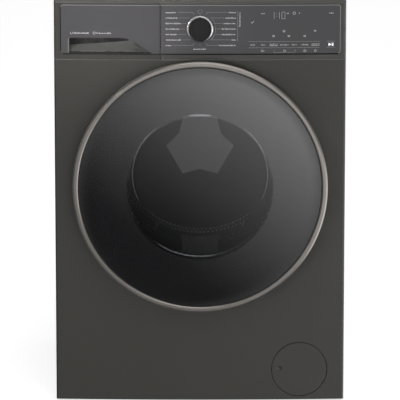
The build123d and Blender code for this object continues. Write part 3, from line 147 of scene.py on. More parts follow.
class Shader(Nodes):
    """One node material and short ways to build it."""

    def __init__(self, name, color, rough=0.5, metallic=0.0):
        self.mat = bpy.data.materials.new(name)
        self.mat.use_nodes = True
        super().__init__(self.mat.node_tree)
        self.bsdf = self.tree.nodes["Principled BSDF"]
        self.out = self.tree.nodes["Material Output"]
        self.color = color
        self.rough = rough
        self.bsdf.inputs["Base Color"].default_value = color
        self.bsdf.inputs["Roughness"].default_value = rough
        self.bsdf.inputs["Metallic"].default_value = metallic
        self.coords = self.add("ShaderNodeTexCoord").outputs["Object"]

    def set(self, **values):
        for key, value in values.items():
            label = key.replace("_", " ").title().replace("Ior", "IOR")
            self.bsdf.inputs[label].default_value = value
        return self

    def axes(self):
        """X, Y and Z of the point that is shaded, in the frame."""
        split = self.add("ShaderNodeSeparateXYZ")
        self.link(self.coords, split.inputs["Vector"])
        return split.outputs["X"], split.outputs["Y"], split.outputs["Z"]

    def place(self, scale=(1, 1, 1)):
        mapping = self.add("ShaderNodeMapping")
        mapping.inputs["Scale"].default_value = scale
        self.link(self.coords, mapping.inputs["Vector"])
        return mapping.outputs["Vector"]

    def noise(self, scale, detail=3.0, stretch=(1, 1, 1)):
        node = self.add("ShaderNodeTexNoise")
        node.inputs["Scale"].default_value = scale
        node.inputs["Detail"].default_value = detail
        self.link(self.place(stretch), node.inputs["Vector"])
        return node.outputs["Fac"]

    def cells(self, scale, stretch=(1, 1, 1)):
        node = self.add("ShaderNodeTexVoronoi")
        node.inputs["Scale"].default_value = scale
        self.link(self.place(stretch), node.inputs["Vector"])
        return node.outputs["Distance"]

    def tint(self, factor, other):
        """Blends the colour so far towards another by factor."""
        node = self.add("ShaderNodeMix", data_type="RGBA")
        share, first, second = (node.inputs[i] for i in (0, 6, 7))
        base = self.bsdf.inputs["Base Color"]
        if base.is_linked:
            self.link(base.links[0].from_socket, first)
        else:
            first.default_value = self.color
        second.default_value = other
        self.link(factor, share)
        self.link(node.outputs[2], base)
        return self

    def vary(self, amount, scale, stretch=(1, 1, 1)):
        """Patches a little lighter than the colour."""
        factor = self.remap(self.noise(scale, 4.0, stretch), 0.0, 1.0, 0.35, 0.7)
        other = tuple(min(1.0, c * (1 + amount)) for c in self.color[:3]) + (1.0,)
        return self.tint(factor, other)

    def roughen(self, spread, scale, stretch=(1, 1, 1)):
        """Roughness that wanders by spread either way."""
        low, high = self.rough - spread, self.rough + spread
        value = self.remap(self.noise(scale, 4.0, stretch), low, high, 0.3, 0.7)
        self.link(value, self.bsdf.inputs["Roughness"])
        return self

    def bump(self, height, strength, depth):
        node = self.add("ShaderNodeBump")
        node.inputs["Strength"].default_value = strength
        node.inputs["Distance"].default_value = depth
        self.link(height, node.inputs["Height"])
        normal = self.bsdf.inputs["Normal"]
        if normal.is_linked:
            self.link(normal.links[0].from_socket, node.inputs["Normal"])
        self.link(node.outputs["Normal"], normal)
        return self


def enamel(name, color, rough=0.42):
    """Coil coated sheet: faint orange peel under a satin coat."""
    s = Shader(name, color, rough).set(specular_ior_level=0.4)
    s.vary(0.05, 6.0).roughen(0.03, 20.0)
    s.bump(s.noise(1400.0, 2.0), 0.06, 0.0002).bump(s.noise(180.0, 2.0), 0.04, 0.0004)
    return s.mat


def moulded(name, color, rough=0.5, grain=0.12, sheen=0.5):
    """Injection moulded plastic with a fine spark eroded grain."""
    s = Shader(name, color, rough).set(specular_ior_level=sheen)
    s.vary(0.08, 9.0).roughen(0.05, 35.0)
    s.bump(s.cells(2600.0), grain, 0.00015).bump(s.noise(300.0), 0.05, 0.0003)
    return s.mat


def brushed(name, color, rough=0.32, stretch=(4, 1, 260), metallic=1.0, strength=0.12, shade=0.78):
    """Metal or film brushed along one direction."""
    s = Shader(name, color, rough, metallic)
    lines = s.noise(14.0, 6.0, stretch)
    s.tint(s.remap(lines, 0.0, 0.5, 0.35, 0.75), darker(color, shade))
    s.link(s.remap(lines, rough - 0.07, rough + 0.1, 0.3, 0.7), s.bsdf.inputs["Roughness"])
    s.bump(lines, strength, 0.0002)
    return s.mat


def cast(name, color, rough=0.6, metallic=0.9):
    """Sand or die cast metal."""
    s = Shader(name, color, rough, metallic)
    s.vary(0.25, 30.0).roughen(0.1, 90.0)
    s.bump(s.noise(700.0, 5.0), 0.35, 0.0006).bump(s.cells(240.0), 0.1, 0.0005)
    return s.mat


def galvanised(name, color):
    """Zinc coated sheet with a faint spangle."""
    s = Shader(name, color, 0.5, 0.55)
    s.vary(0.12, 9.0).tint(s.remap(s.cells(110.0), 0.0, 0.35, 0.2, 0.8), darker(color, 0.82))
    s.roughen(0.06, 40.0)
    return s.bump(s.noise(300.0, 2.0), 0.04, 0.0002).mat


def rubber(name, color, rough=0.62):
    """Moulded rubber with a dusty bloom."""
    s = Shader(name, color, rough)
    s.vary(0.3, 16.0).roughen(0.08, 60.0)
    s.bump(s.noise(900.0, 4.0), 0.15, 0.0003)
    return s.set(sheen_weight=0.15).mat


def concrete(name, color):
    """Cast concrete with pores and stains."""
    s = Shader(name, color, 0.85)
    s.vary(0.35, 12.0)
    pores = s.remap(s.cells(160.0), 1.0, 0.0, 0.0, 0.22)
    s.tint(s.math("MULTIPLY", pores, 0.7), darker(color, 0.5))
    s.bump(s.noise(260.0, 6.0), 0.5, 0.001).bump(s.math("MULTIPLY", pores, -1.0), 0.4, 0.0012)
    return s.mat


def ring_finish():
    """Satin metal of the door ring, turned round the door's axis."""
    s = Shader("ring_satin", srgb(120, 116, 112), 0.34, 0.7)
    x, y, z = s.axes()
    rise = s.math("SUBTRACT", z, DOOR_Z)
    radius = s.math("SQRT", s.math("ADD", s.math("MULTIPLY", rise, rise), s.math("MULTIPLY", x, x)))
    combine = s.add("ShaderNodeCombineXYZ")
    s.link(radius, combine.inputs["X"])
    s.link(y, combine.inputs["Y"])
    lines = s.add("ShaderNodeTexNoise")
    lines.inputs["Scale"].default_value = 2600.0
    lines.inputs["Detail"].default_value = 4.0
    s.link(combine.outputs["Vector"], lines.inputs["Vector"])
    s.tint(s.remap(lines.outputs["Fac"], 0.0, 0.35, 0.35, 0.7), srgb(108, 104, 100))
    s.link(s.remap(lines.outputs["Fac"], 0.24, 0.38, 0.3, 0.7), s.bsdf.inputs["Roughness"])
    s.bump(lines.outputs["Fac"], 0.08, 0.0001)
    return s.mat


def clear_pane(name, tint, gloss, share, rough=0.02):
    """Glass that lets light straight through, with share of it taken by the polished face."""
    s = Shader(name, gloss, rough)
    s.set(specular_ior_level=0.8, coat_weight=0.8, coat_roughness=0.02)
    see = s.add("ShaderNodeBsdfTransparent")
    see.inputs["Color"].default_value = tint
    mix = s.add("ShaderNodeMixShader")
    facing = s.add("ShaderNodeLayerWeight")
    facing.inputs["Blend"].default_value = 0.25
    s.link(s.remap(facing.outputs["Facing"], share, 1.0, 0.0, 1.0), mix.inputs["Fac"])
    s.link(see.outputs["BSDF"], mix.inputs[1])
    s.link(s.bsdf.outputs["BSDF"], mix.inputs[2])
    s.link(mix.outputs["Shader"], s.out.inputs["Surface"])
    return s.mat


FINISHES = {
    "body_paint": enamel("body_enamel", srgb(46, 45, 41), 0.48),
    "worktop_paint": enamel("worktop_laminate", srgb(70, 69, 65), 0.5),
    "zinc_sheet": galvanised("zinc_sheet", srgb(112, 114, 116)),
    "fascia_plastic": moulded("fascia_plastic", srgb(49, 48, 45), 0.5, 0.05),
    "fascia_overlay": brushed("fascia_film", srgb(58, 57, 59), 0.55, (1.5, 1, 300), 0.10, 0.015, 0.94),
    "dial_metal": brushed("dial_ring_metal", srgb(196, 195, 193), 0.26, (90, 1, 90), 1.0, 0.03),
    "dial_plastic": moulded("dial_black", srgb(8, 8, 8), 0.6, 0.06, 0.3),
    "drawer_plastic": moulded("drawer_plastic", srgb(205, 208, 210), 0.42),
    "blue_plastic": moulded("siphon_blue", srgb(52, 96, 168), 0.35),
    "board": moulded("board_green", srgb(24, 84, 52), 0.35, 0.05),
    "ring_metal": ring_finish(),
    "door_plastic": moulded("door_black", srgb(26, 26, 27), 0.35, 0.06),
    "door_grey": moulded("door_grey", srgb(128, 130, 132), 0.45),
    "hinge_metal": brushed("nickel", srgb(178, 176, 170), 0.30, (60, 60, 4), 1.0, 0.08),
    "lock_plastic": moulded("lock_black", srgb(30, 30, 31), 0.5),
    "gasket_rubber": rubber("gasket_rubber", srgb(96, 98, 100)),
    "tub_plastic": moulded("tub_plastic", srgb(188, 188, 184), 0.55),
    "concrete": concrete("concrete", srgb(150, 146, 138)),
    "iron": cast("cast_iron", srgb(70, 70, 72), 0.7, 0.7),
    "stainless": brushed("drum_steel", srgb(190, 191, 194), 0.24, (30, 220, 30), 1.0, 0.03, 0.92),
    "cast_aluminium": cast("cast_aluminium", srgb(168, 170, 172), 0.5, 1.0),
    "steel": brushed("ground_steel", srgb(170, 170, 172), 0.28, (80, 80, 6), 1.0, 0.08),
    "spring_steel": brushed("spring_steel", srgb(92, 92, 96), 0.40, (60, 60, 20), 0.9, 0.08),
    "belt_rubber": rubber("belt_rubber", srgb(28, 28, 28)),
    "hose_rubber": rubber("hose_rubber", srgb(32, 32, 33)),
    "base_plastic": moulded("base_plastic", srgb(38, 38, 38), 0.6),
    "pump_plastic": moulded("pump_plastic", srgb(190, 190, 186), 0.5),
    "foot_rubber": rubber("foot_rubber", srgb(34, 34, 34)),
    "valve_plastic": moulded("valve_plastic", srgb(214, 214, 208), 0.45),
    "grey_hose": moulded("grey_hose", srgb(120, 121, 123), 0.5),
    "tinted_glass": clear_pane("door_tint", (0.92, 0.92, 0.94, 1), srgb(26, 26, 27), 0.62),
    "clear_glass": clear_pane("bowl_glass", (0.95, 0.955, 0.955, 1), srgb(40, 42, 43), 0.03, 0.03),
}


def ink():
    """White screen print."""
    s = Shader("white_ink", srgb(190, 190, 190), 0.5)
    return s.vary(0.04, 300.0).mat


def glint(name, color, strength, rough=0.15):
    """Surface that glows by emission: a painted highlight on the bowl's bead and tab and on the drum's
    star and dimples, and the lit display digits.
    """
    s = Shader(name, color, rough).set(emission_color=color, emission_strength=strength)
    return s.vary(0.03, 200.0).mat


def lit():
    """The lit start symbol under the film."""
    s = Shader("display_light", srgb(235, 238, 240), 0.4)
    s.set(emission_color=srgb(235, 238, 240), emission_strength=0.5)
    return s.vary(0.02, 300.0).mat


GRIP_FOOT_Z = 740.0 * MM    # painted shade in the recess below here
GRIP_FAR_X = -134.5 * MM    # and to the right of here
# the drawer front has painted shade deeper than GRIP_DEEP_Y and below GRIP_TOP_Z
GRIP_TOP_Z = 770.0 * MM
GRIP_DEEP_Y = PANEL_MID_Y + 10.2 * MM


def grip_painted_light():
    """Grey of the finger recess, painted lighter than the fascia plastic as light falling in the recess,
    with painted shade along its foot and towards its sloping side.
    """
    s = Shader("grip_painted_light_and_shade", srgb(100, 100, 97), 0.45).set(specular_ior_level=0.25)
    x, _, z = s.axes()
    foot_shade = s.remap(z, 1.0, 0.0, GRIP_FOOT_Z - 0.8 * MM, GRIP_FOOT_Z + 0.8 * MM)
    side_shade = s.remap(x, 0.0, 0.7, GRIP_FAR_X - 2.5 * MM, GRIP_FAR_X + 2.5 * MM)
    s.tint(s.math("MAXIMUM", foot_shade, side_shade), srgb(12, 12, 12))
    return s.vary(0.04, 60.0).mat


def drawer_painted_shade():
    """Fascia plastic, with painted shade inside the finger recess."""
    s = Shader("drawer_fascia_painted_shade", srgb(50, 49, 46), 0.55).set(specular_ior_level=0.3)
    _, y, z = s.axes()
    deep_shade = s.remap(y, 0.0, 1.0, GRIP_DEEP_Y - 0.7 * MM, GRIP_DEEP_Y + 0.8 * MM)
    below = s.remap(z, 1.0, 0.0, GRIP_TOP_Z - 0.5 * MM, GRIP_TOP_Z + 0.5 * MM)
    s.tint(s.math("MULTIPLY", deep_shade, below), srgb(9, 9, 9))
    return s.vary(0.04, 60.0).mat


NODE_FINISHES = {
    # fascia plastic with painted shade inside the finger recess
    "drawer_front": drawer_painted_shade(),
    "drum_back": brushed("drum_back_steel", srgb(104, 105, 106), 0.55, (30, 30, 30), 0.5, 0.02),
}
INK = ink()
LIT = lit()
# painted highlight on the bowl's bead
BEAD_HIGHLIGHT = glint("bowl_bead_highlight", srgb(238, 239, 240), 0.22)
# painted highlight on the bowl's tab
TAB_HIGHLIGHT = glint("bowl_tab_highlight", srgb(232, 233, 234), 0.80)
# painted highlight on the drum's dimples
DIMPLE_HIGHLIGHT = glint("drum_dimple_highlight", srgb(226, 227, 229), 0.16)
# painted highlight on the drum's star
STAR_HIGHLIGHT = glint("drum_star_highlight", srgb(217, 216, 215), 0.09, 0.5)
DIGITS = glint("display_digits", srgb(170, 172, 174), 0.10, 0.4)
# painted highlight along the edges of the overlay and of the finger recess
EDGE_HIGHLIGHT = moulded("film_edge_highlight", srgb(122, 122, 123), 0.4, 0.02)
# painted highlight along seams and rounded edges
SEAM_HIGHLIGHT = enamel("seam_highlight", srgb(88, 87, 83), 0.5)
# black of the dark gap at the drawer's left edge, and of the painted shadow under the overlay
SHADE = moulded("gap_and_shadow_black", srgb(10, 10, 10), 0.8, 0.02, 0.1)
# painted light and shade of the finger recess
GRIP_LIGHT_AND_SHADE = grip_painted_light()


def finish_cad_nodes():
    """Every CAD node takes the finish of its slot in the record, or its own from NODE_FINISHES; the drawer
    front's carries painted shade.
    """
    for part in frame["record"]["subparts"]:
        mesh = NODES[part["node"]].data
        mesh.materials.clear()
        mesh.materials.append(NODE_FINISHES.get(part["node"], FINISHES[part["material_slot"]]))


# ---- Mesh helpers ----
def placed(name, data):
    """A new object in the scene."""
    obj = bpy.data.objects.new(name, data)
    bpy.context.scene.collection.objects.link(obj)
    return obj


def piece(name, mesh, body, slot, material=None, replaces=(), smooth=True):
    """A finished piece in the scene, riding on a body."""
    obj = placed(name, mesh)
    mesh.materials.append(material or FINISHES[slot])
    for polygon in mesh.polygons:
        polygon.use_smooth = smooth
    if smooth:
        mesh.set_sharp_from_angle(angle=math.radians(38))
    if body:
        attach(obj, body)
    if replaces:
        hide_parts(*replaces)
    return obj


def mesh_of(name, points, faces):
    """A mesh from lists of points and faces."""
    mesh = bpy.data.meshes.new(name)
    mesh.from_pydata(points, [], faces)
    mesh.validate()
    return mesh


def lathe_mesh(name, outline, segments=192, centre=(0.0, DOOR_Z)):
    """A closed (radius, y) outline turned round a line along Y."""
    points, faces = [], []
    count = len(outline)
    for turn in range(segments):
        angle = 2 * math.pi * turn / segments
        for radius, y in outline:
            points.append((centre[0] + radius * math.sin(angle), y, centre[1] + radius * math.cos(angle)))
    for turn in range(segments):
        here, there = turn * count, (turn + 1) % segments * count
        for i in range(count):
            j = (i + 1) % count
            faces.append((here + i, here + j, there + j, there + i))
    mesh = mesh_of(name, points, faces)
    tidy = bmesh.new()
    tidy.from_mesh(mesh)
    bmesh.ops.remove_doubles(tidy, verts=tidy.verts, dist=1e-6)
    bmesh.ops.recalc_face_normals(tidy, faces=tidy.faces)
    tidy.to_mesh(mesh)
    tidy.free()
    return mesh


def rounded(points, radii, steps=6):
    """A closed outline with its corners rounded, each by its own radius."""
    out = []
    count = len(points)
    for i, corner in enumerate(points):
        corner = Vector(corner)
        before = Vector(points[i - 1]) - corner
        after = Vector(points[(i + 1) % count]) - corner
        radius = radii[i]
        if radius <= 0:
            out.append(tuple(corner))
            continue
        half = before.angle(after) / 2
        cut = min(radius / math.tan(half), before.length * 0.48, after.length * 0.48)
        start, end = corner + before.normalized() * cut, corner + after.normalized() * cut
        for step in range(steps + 1):
            t = step / steps
            out.append(tuple(start * (1 - t) ** 2 + corner * 2 * t * (1 - t) + end * t ** 2))
    return out


def tube_mesh(name, path, radius_at, sides=24):
    """A tube along a list of points, its radius given by radius_at(share of length)."""
    path = [Vector(p) for p in path]
    count = len(path)
    points, faces = [], []
    side = None
    for i, here in enumerate(path):
        ahead = path[i + 1] if i + 1 < count else here
        behind = path[i - 1] if i else here
        along = (ahead - behind).normalized()
        if side is None:
            side = along.orthogonal().normalized()
        side = (side - along * side.dot(along)).normalized()
        other = along.cross(side)
        reach = radius_at(i / (count - 1))
        for k in range(sides):
            angle = 2 * math.pi * k / sides
            points.append(here + (side * math.cos(angle) + other * math.sin(angle)) * reach)
    for i in range(count - 1):
        a, b = i * sides, (i + 1) * sides
        for k in range(sides):
            m = (k + 1) % sides
            faces.append((a + k, a + m, b + m, b + k))
    faces.append(tuple(range(sides))[::-1])
    faces.append(tuple((count - 1) * sides + k for k in range(sides)))
    return mesh_of(name, points, faces)


def joined(name, meshes):
    """Several meshes as one."""
    whole = bmesh.new()
    for mesh in meshes:
        whole.from_mesh(mesh)
        bpy.data.meshes.remove(mesh)
    mesh = bpy.data.meshes.new(name)
    whole.to_mesh(mesh)
    whole.free()
    return mesh


# ---- Door ----
WINDOW_R = 149.0 * MM


def door_glass():
    """Outer pane with a faint dome: a printed band round a clearer window, its edge ground."""
    low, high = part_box("door_glass")
    radius, front, back = high.x, low.y, high.y
    sag = 3.0 * MM
    steps = [WINDOW_R * i / 14 for i in range(14)]
    steps += [WINDOW_R + (radius - WINDOW_R) * i / 10 for i in range(10)]
    face = [(r, front - 1.0 * MM + sag * (r / radius) ** 2) for r in steps]
    rim = [(radius - 0.8 * MM, front + 1.8 * MM), (radius, front + 2.8 * MM), (radius, back), (0.0, back)]
    mesh = lathe_mesh("outer_pane", face + rim)
    pane = piece("outer_pane", mesh, "door", "tinted_glass", replaces=["door_glass"])
    mesh.materials.append(clear_pane("door_tint_back", (0.92, 0.92, 0.93, 1), srgb(14, 14, 15), 0.02))
    mesh.materials.append(clear_pane("door_window", (0.95, 0.95, 0.96, 1), srgb(12, 12, 13), 0.40))
    for polygon in mesh.polygons:
        middle = polygon.center
        clear = math.hypot(middle.x, middle.z - DOOR_Z) < WINDOW_R
        polygon.material_index = 1 if polygon.normal.y > 0.5 else 2 if clear else 0
    return pane


def door_ring():
    """Satin ring with a bright chamfer along each edge of its face."""
    front, back = RING_LO.y, RING_HI.y
    inner = RING_R - 11.2 * MM
    outline = rounded([
        (inner, back),
        (inner, front + 1.7 * MM),
        (inner + 2.0 * MM, front + 0.1 * MM),
        (RING_R - 3.2 * MM, front + 0.3 * MM),
        (RING_R, front + 2.8 * MM),
        (RING_R, back),
    ], [0.0, 0.3 * MM, 0.5 * MM, 0.6 * MM, 0.6 * MM, 1.6 * MM], 5)
    mesh = lathe_mesh("satin_ring", outline, 256)
    return piece("satin_ring", mesh, "door", "ring_metal", replaces=["door_ring"])


BOWL_SLOPE = math.tan(math.radians(22.5))
BOWL_DEPTH = 80.5 * MM      # from the flange to the middle of the sloping end
BOWL_TAPER = 0.13           # how fast the wall draws in
BOWL_MOUTH_R = 150.0 * MM
BOWL_WALL = 4.0 * MM
BEAD_REACH = 112            # degrees either side of the top
BEAD_THICK_AT = 66


def lean(mesh, flange_y):
    """Slope the bowl's end so that it is deeper at the bottom, and draw the wall in with depth."""
    for vertex in mesh.vertices:
        co = vertex.co
        share = min(max((co.y - flange_y) / BOWL_DEPTH, 0.0), 1.0)
        shift = -(co.z - DOOR_Z) * BOWL_SLOPE * share
        shrink = 1 - BOWL_TAPER * shift * share / (BOWL_MOUTH_R - BOWL_TAPER * BOWL_DEPTH)
        co.x *= shrink
        co.z = DOOR_Z + (co.z - DOOR_Z) * shrink
        co.y += shift


def door_bowl():
    """Moulded glass bowl with a sloping end and a flange."""
    low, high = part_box("door_bowl")
    flange_r, flange_y = high.x, low.y
    end_y = flange_y + BOWL_DEPTH
    end_r = BOWL_MOUTH_R - BOWL_TAPER * BOWL_DEPTH
    inside_r = BOWL_MOUTH_R - BOWL_WALL
    outline = rounded([
        (0.0, end_y - BOWL_WALL - 1 * MM),
        (end_r - BOWL_WALL, end_y - BOWL_WALL),
        (inside_r, flange_y + 3 * MM),
        (inside_r + 3 * MM, flange_y),
        (flange_r, flange_y),
        (flange_r, flange_y + BOWL_WALL),
        (BOWL_MOUTH_R, flange_y + BOWL_WALL + 2 * MM),
        (end_r, end_y),
        (0.0, end_y - 1 * MM),
    ], [0.0, 12 * MM, 30 * MM, 3 * MM, 1 * MM, 1 * MM, 3 * MM, 15 * MM, 0.0], 8)
    mesh = lathe_mesh("glass_bowl", outline)
    lean(mesh, flange_y)
    piece("glass_bowl", mesh, "door", "clear_glass", replaces=["door_bowl"])
    bowl_bead(end_r + 0.3 * MM, end_y - 8 * MM, flange_y)
    bowl_tab(end_r, end_y - 7 * MM, flange_y)


def bowl_bead(radius, y, flange_y):
    """Bead where the wall turns into the end, thickest at either side, glowing as a painted highlight."""
    path = []
    for i in range(121):
        path.append(round_door(radius, math.radians(-BEAD_REACH + 2 * BEAD_REACH * i / 120), y))

    def size(share):
        off = (abs(share - 0.5) * 2 * BEAD_REACH - BEAD_THICK_AT) / 30
        return (0.45 + 1.0 * math.exp(-off * off)) * MM

    mesh = tube_mesh("bowl_bead", path, size, 10)
    lean(mesh, flange_y)
    return piece("bowl_bead", mesh, "door", "clear_glass", BEAD_HIGHLIGHT)


def bowl_tab(radius, y, flange_y):
    """Moulded tab at the top of the bowl's end, glowing as a painted highlight."""
    low, high = DOOR_Z + radius - 6 * MM, DOOR_Z + radius + 1 * MM
    outline = [(-22.0, low), (22.0, low), (19.5, high - 1.2 * MM), (17.5, high),
               (-17.5, high), (-19.5, high - 1.2 * MM)]
    points = [(x * MM, y + back, z) for back in (0.0, 2.0 * MM) for x, z in outline]
    count = len(outline)
    faces = [tuple(range(count)), tuple(range(2 * count - 1, count - 1, -1))]
    for i in range(count):
        k = (i + 1) % count
        faces.append((k, i, i + count, k + count))
    mesh = mesh_of("bowl_tab", points, faces)
    lean(mesh, flange_y)
    return piece("bowl_tab", mesh, "door", "clear_glass", TAB_HIGHLIGHT, smooth=False)


# ---- Drum ----
HOLE_PITCH = 13.0 * MM
HOLE_R = 1.9 * MM
HOLE_SIDES = 8


def drum_skin():
    """The drum's perforated sheet, bent round the drum from cells that each have a real hole."""
    radius, length = DRUM_R - 0.4 * MM, DRUM_HI.y - DRUM_LO.y
    rows = int(length / (HOLE_PITCH * 0.87))
    columns = 6 * int(2 * math.pi * radius / HOLE_PITCH / 6)
    step_y, step_a = length / rows, 2 * math.pi / columns
    skin = bmesh.new()
    for row in range(rows):
        y = DRUM_LO.y + (row + 0.5) * step_y
        for column in range(columns):
            drum_cell(skin, radius, (column + 0.5 * (row % 2)) * step_a, y, step_a / 2, step_y / 2)
    bmesh.ops.remove_doubles(skin, verts=skin.verts, dist=1e-6)
    mesh = bpy.data.meshes.new("perforated_drum")
    skin.to_mesh(mesh)
    skin.free()
    obj = piece("perforated_drum", mesh, "drum", "stainless", replaces=["drum_shell"])
    sheet = obj.modifiers.new("sheet", "SOLIDIFY")
    sheet.thickness, sheet.offset = 0.7 * MM, 0.0
    return obj


def drum_cell(skin, radius, angle, y, half_a, half_y):
    """One plate of the drum's sheet round one hole: eight strips and four corners."""
    def point(across, along):
        return skin.verts.new(round_door(radius, angle + across, y + along))

    rim, hole = [], []
    for k in range(HOLE_SIDES):
        turn = 2 * math.pi * (k + 0.5) / HOLE_SIDES
        across, along = math.cos(turn), math.sin(turn)
        reach = 1 / max(abs(across), abs(along))
        rim.append(point(across * reach * half_a, along * reach * half_y))
        hole.append(point(across * HOLE_R / radius, along * HOLE_R))
    for k in range(HOLE_SIDES):
        m = (k + 1) % HOLE_SIDES
        skin.faces.new((rim[k], rim[m], hole[m], hole[k]))
    for k, (side_a, side_y) in ((0, (1, 1)), (2, (-1, 1)), (4, (-1, -1)), (6, (1, -1))):
        skin.faces.new((rim[k], point(side_a * half_a, side_y * half_y), rim[k + 1]))


STAR_R = 73.0 * MM
STAR_WAIST_R = 52.5 * MM
BACK_ROWS = ((186.0, 135), (193.5, 135), (211.0, 90), (218.5, 90))


def drum_star():
    """Polished face of the star raised at the middle of the drum's back, glowing with a painted highlight.
    """
    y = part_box("drum_back")[0].y - 0.25 * MM
    rim = []
    for lobe in (0, 120, 240):
        for turn, radius in ((-29, STAR_R), (29, STAR_R), (60, STAR_WAIST_R)):
            rim.append(round_door(radius, math.radians(lobe + turn), y))
    mesh = mesh_of("drum_star", [(0.0, y, DOOR_Z)] + rim,
                   [(0, 1 + i, 1 + (i + 1) % len(rim)) for i in range(len(rim))])
    return piece("drum_star", mesh, "drum", "stainless", STAR_HIGHLIGHT, smooth=False)


def drum_back_dimples():
    """Rows of small dimples round the drum's back, made bright by a painted highlight."""
    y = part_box("drum_back")[1].y - 2.35 * MM
    points, faces = [], []
    for index, (radius, count) in enumerate(BACK_ROWS):
        for k in range(count):
            angle = 2 * math.pi * (k + 0.5 * (index % 2)) / count
            x, z = radius * MM * math.sin(angle), DOOR_Z + radius * MM * math.cos(angle)
            start = len(points)
            for side in range(6):
                turn = math.pi * side / 3
                points.append((x + 1.25 * MM * math.cos(turn), y, z + 1.25 * MM * math.sin(turn)))
            faces.append(tuple(range(start, start + 6)))
    mesh = mesh_of("drum_dimples", points, faces)
    return piece("drum_dimples", mesh, "drum", "stainless", DIMPLE_HIGHLIGHT, smooth=False)


# ---- Gasket, springs and hoses ----
def gasket():
    """Grey bellows with a lip against the glass, between cabinet and tub."""
    low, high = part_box("door_gasket")
    lip_r, mouth_r = high.x - 5.6 * MM, high.x - 32 * MM
    y = low.y
    spine = [
        (lip_r + 2 * MM, y), (lip_r, y + 3 * MM), (lip_r - 1 * MM, y + 9 * MM),
        (mouth_r + 14 * MM, y + 12 * MM), (mouth_r + 5 * MM, y + 8 * MM), (mouth_r, y + 13 * MM),
        (mouth_r, y + 22 * MM), (mouth_r + 3 * MM, y + 31 * MM), (mouth_r + 9 * MM, y + 34 * MM),
        (lip_r - 4 * MM, y + 22 * MM), (lip_r + 1 * MM, y + 26 * MM), (lip_r - 3 * MM, y + 38 * MM),
        (lip_r - 8 * MM, y + 46 * MM), (lip_r - 9 * MM, high.y),
    ]
    outline = thick_line(smooth_line(spine, 5), 3.0 * MM)
    mesh = lathe_mesh("bellows_gasket", outline, 160)
    obj = piece("bellows_gasket", mesh, None, "gasket_rubber", replaces=["door_gasket"])
    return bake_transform(obj)


def smooth_line(points, steps):
    """A Catmull-Rom line through the points."""
    padded = [points[0]] + list(points) + [points[-1]]
    out = []
    for i in range(1, len(padded) - 2):
        a, b, c, d = (Vector(p) for p in padded[i - 1:i + 3])
        for step in range(steps):
            t = step / steps
            out.append(0.5 * (2 * b + (c - a) * t + (2 * a - 5 * b + 4 * c - d) * t ** 2
                              + (3 * b - a - 3 * c + d) * t ** 3))
    out.append(Vector(points[-1]))
    return out


def thick_line(line, thickness):
    """A closed outline that runs along both sides of a line."""
    left, right = [], []
    for i, here in enumerate(line):
        along = (line[min(i + 1, len(line) - 1)] - line[max(i - 1, 0)]).normalized()
        across = Vector((-along.y, along.x)) * thickness / 2
        left.append(tuple(here + across))
        right.append(tuple(here - across))
    return left + right[::-1]


def spring(side):
    """One hanging spring with closed end turns and hooks."""
    low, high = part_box("suspension_springs")
    wire, coil = 1.9 * MM, 11.0 * MM
    x = side * (high.x - coil - wire)
    y = (low.y + high.y) / 2
    z0, z1, turns = low.z + 16 * MM, high.z - 16 * MM, 27
    path = [(x, y, low.z + 2 * MM + 12 * MM * i / 4) for i in range(4)]
    count = turns * 14
    for i in range(count + 1):
        share = i / count
        angle = 2 * math.pi * turns * share
        path.append((x + coil * math.sin(angle), y - coil * math.cos(angle), z0 + (z1 - z0) * share))
    path += [(x, y, z1 + 3 * MM + 13 * MM * i / 4) for i in range(4)]
    name = "spring_left" if side < 0 else "spring_right"
    mesh = tube_mesh(name, path, lambda share: wire, 8)
    obj = piece(name, mesh, None, "spring_steel", replaces=["suspension_springs"])
    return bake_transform(obj)


def bellows_hose(name, path, radius, slot):
    """A ribbed rubber hose between the tub and the cabinet."""
    fine = smooth_line(path, 30)
    length = sum((b - a).length for a, b in zip(fine, fine[1:]))
    ribs = int(length / (7.5 * MM))

    def radius_at(share):
        groove = 2.2 * MM * (0.5 + 0.5 * math.cos(2 * math.pi * ribs * share))
        return radius - groove * min(1, 8 * share, 8 - 8 * share)

    mesh = tube_mesh(name, fine, radius_at, 24)
    obj = piece(name, mesh, None, slot, replaces=["tub_hoses"])
    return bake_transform(obj)


SUMP_R = 18.5 * MM
SUMP_TOP_Z = 205.0 * MM
SUMP_BEND_Z = 168.0 * MM
DISPENSER_R = 15.0 * MM
DISPENSER_Y = -52.0 * MM
DISPENSER_DROP = 57.0 * MM


def hoses():
    """Sump hose down to the pump, and dispenser hose down to the tub."""
    low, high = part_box("tub_hoses")
    edge = SUMP_R + 0.5 * MM
    pump_x, sump_x = high.x - edge, high.x - 105 * MM
    front, rear = low.y + edge, high.y - edge
    path = [
        (sump_x, rear, SUMP_TOP_Z), (sump_x, rear, SUMP_TOP_Z - 20 * MM),
        (sump_x + 14 * MM, rear - 24 * MM, SUMP_BEND_Z), (pump_x - 14 * MM, front + 24 * MM, SUMP_BEND_Z),
        (pump_x, front, SUMP_BEND_Z - 18 * MM), (pump_x, front, low.z),
    ]
    bellows_hose("sump_bellows", path, SUMP_R, "hose_rubber")
    x = low.x + DISPENSER_R
    path = [(x, DISPENSER_Y, high.z - DISPENSER_DROP * i / 5) for i in range(6)][::-1]
    bellows_hose("dispenser_bellows", path, DISPENSER_R, "hose_rubber")


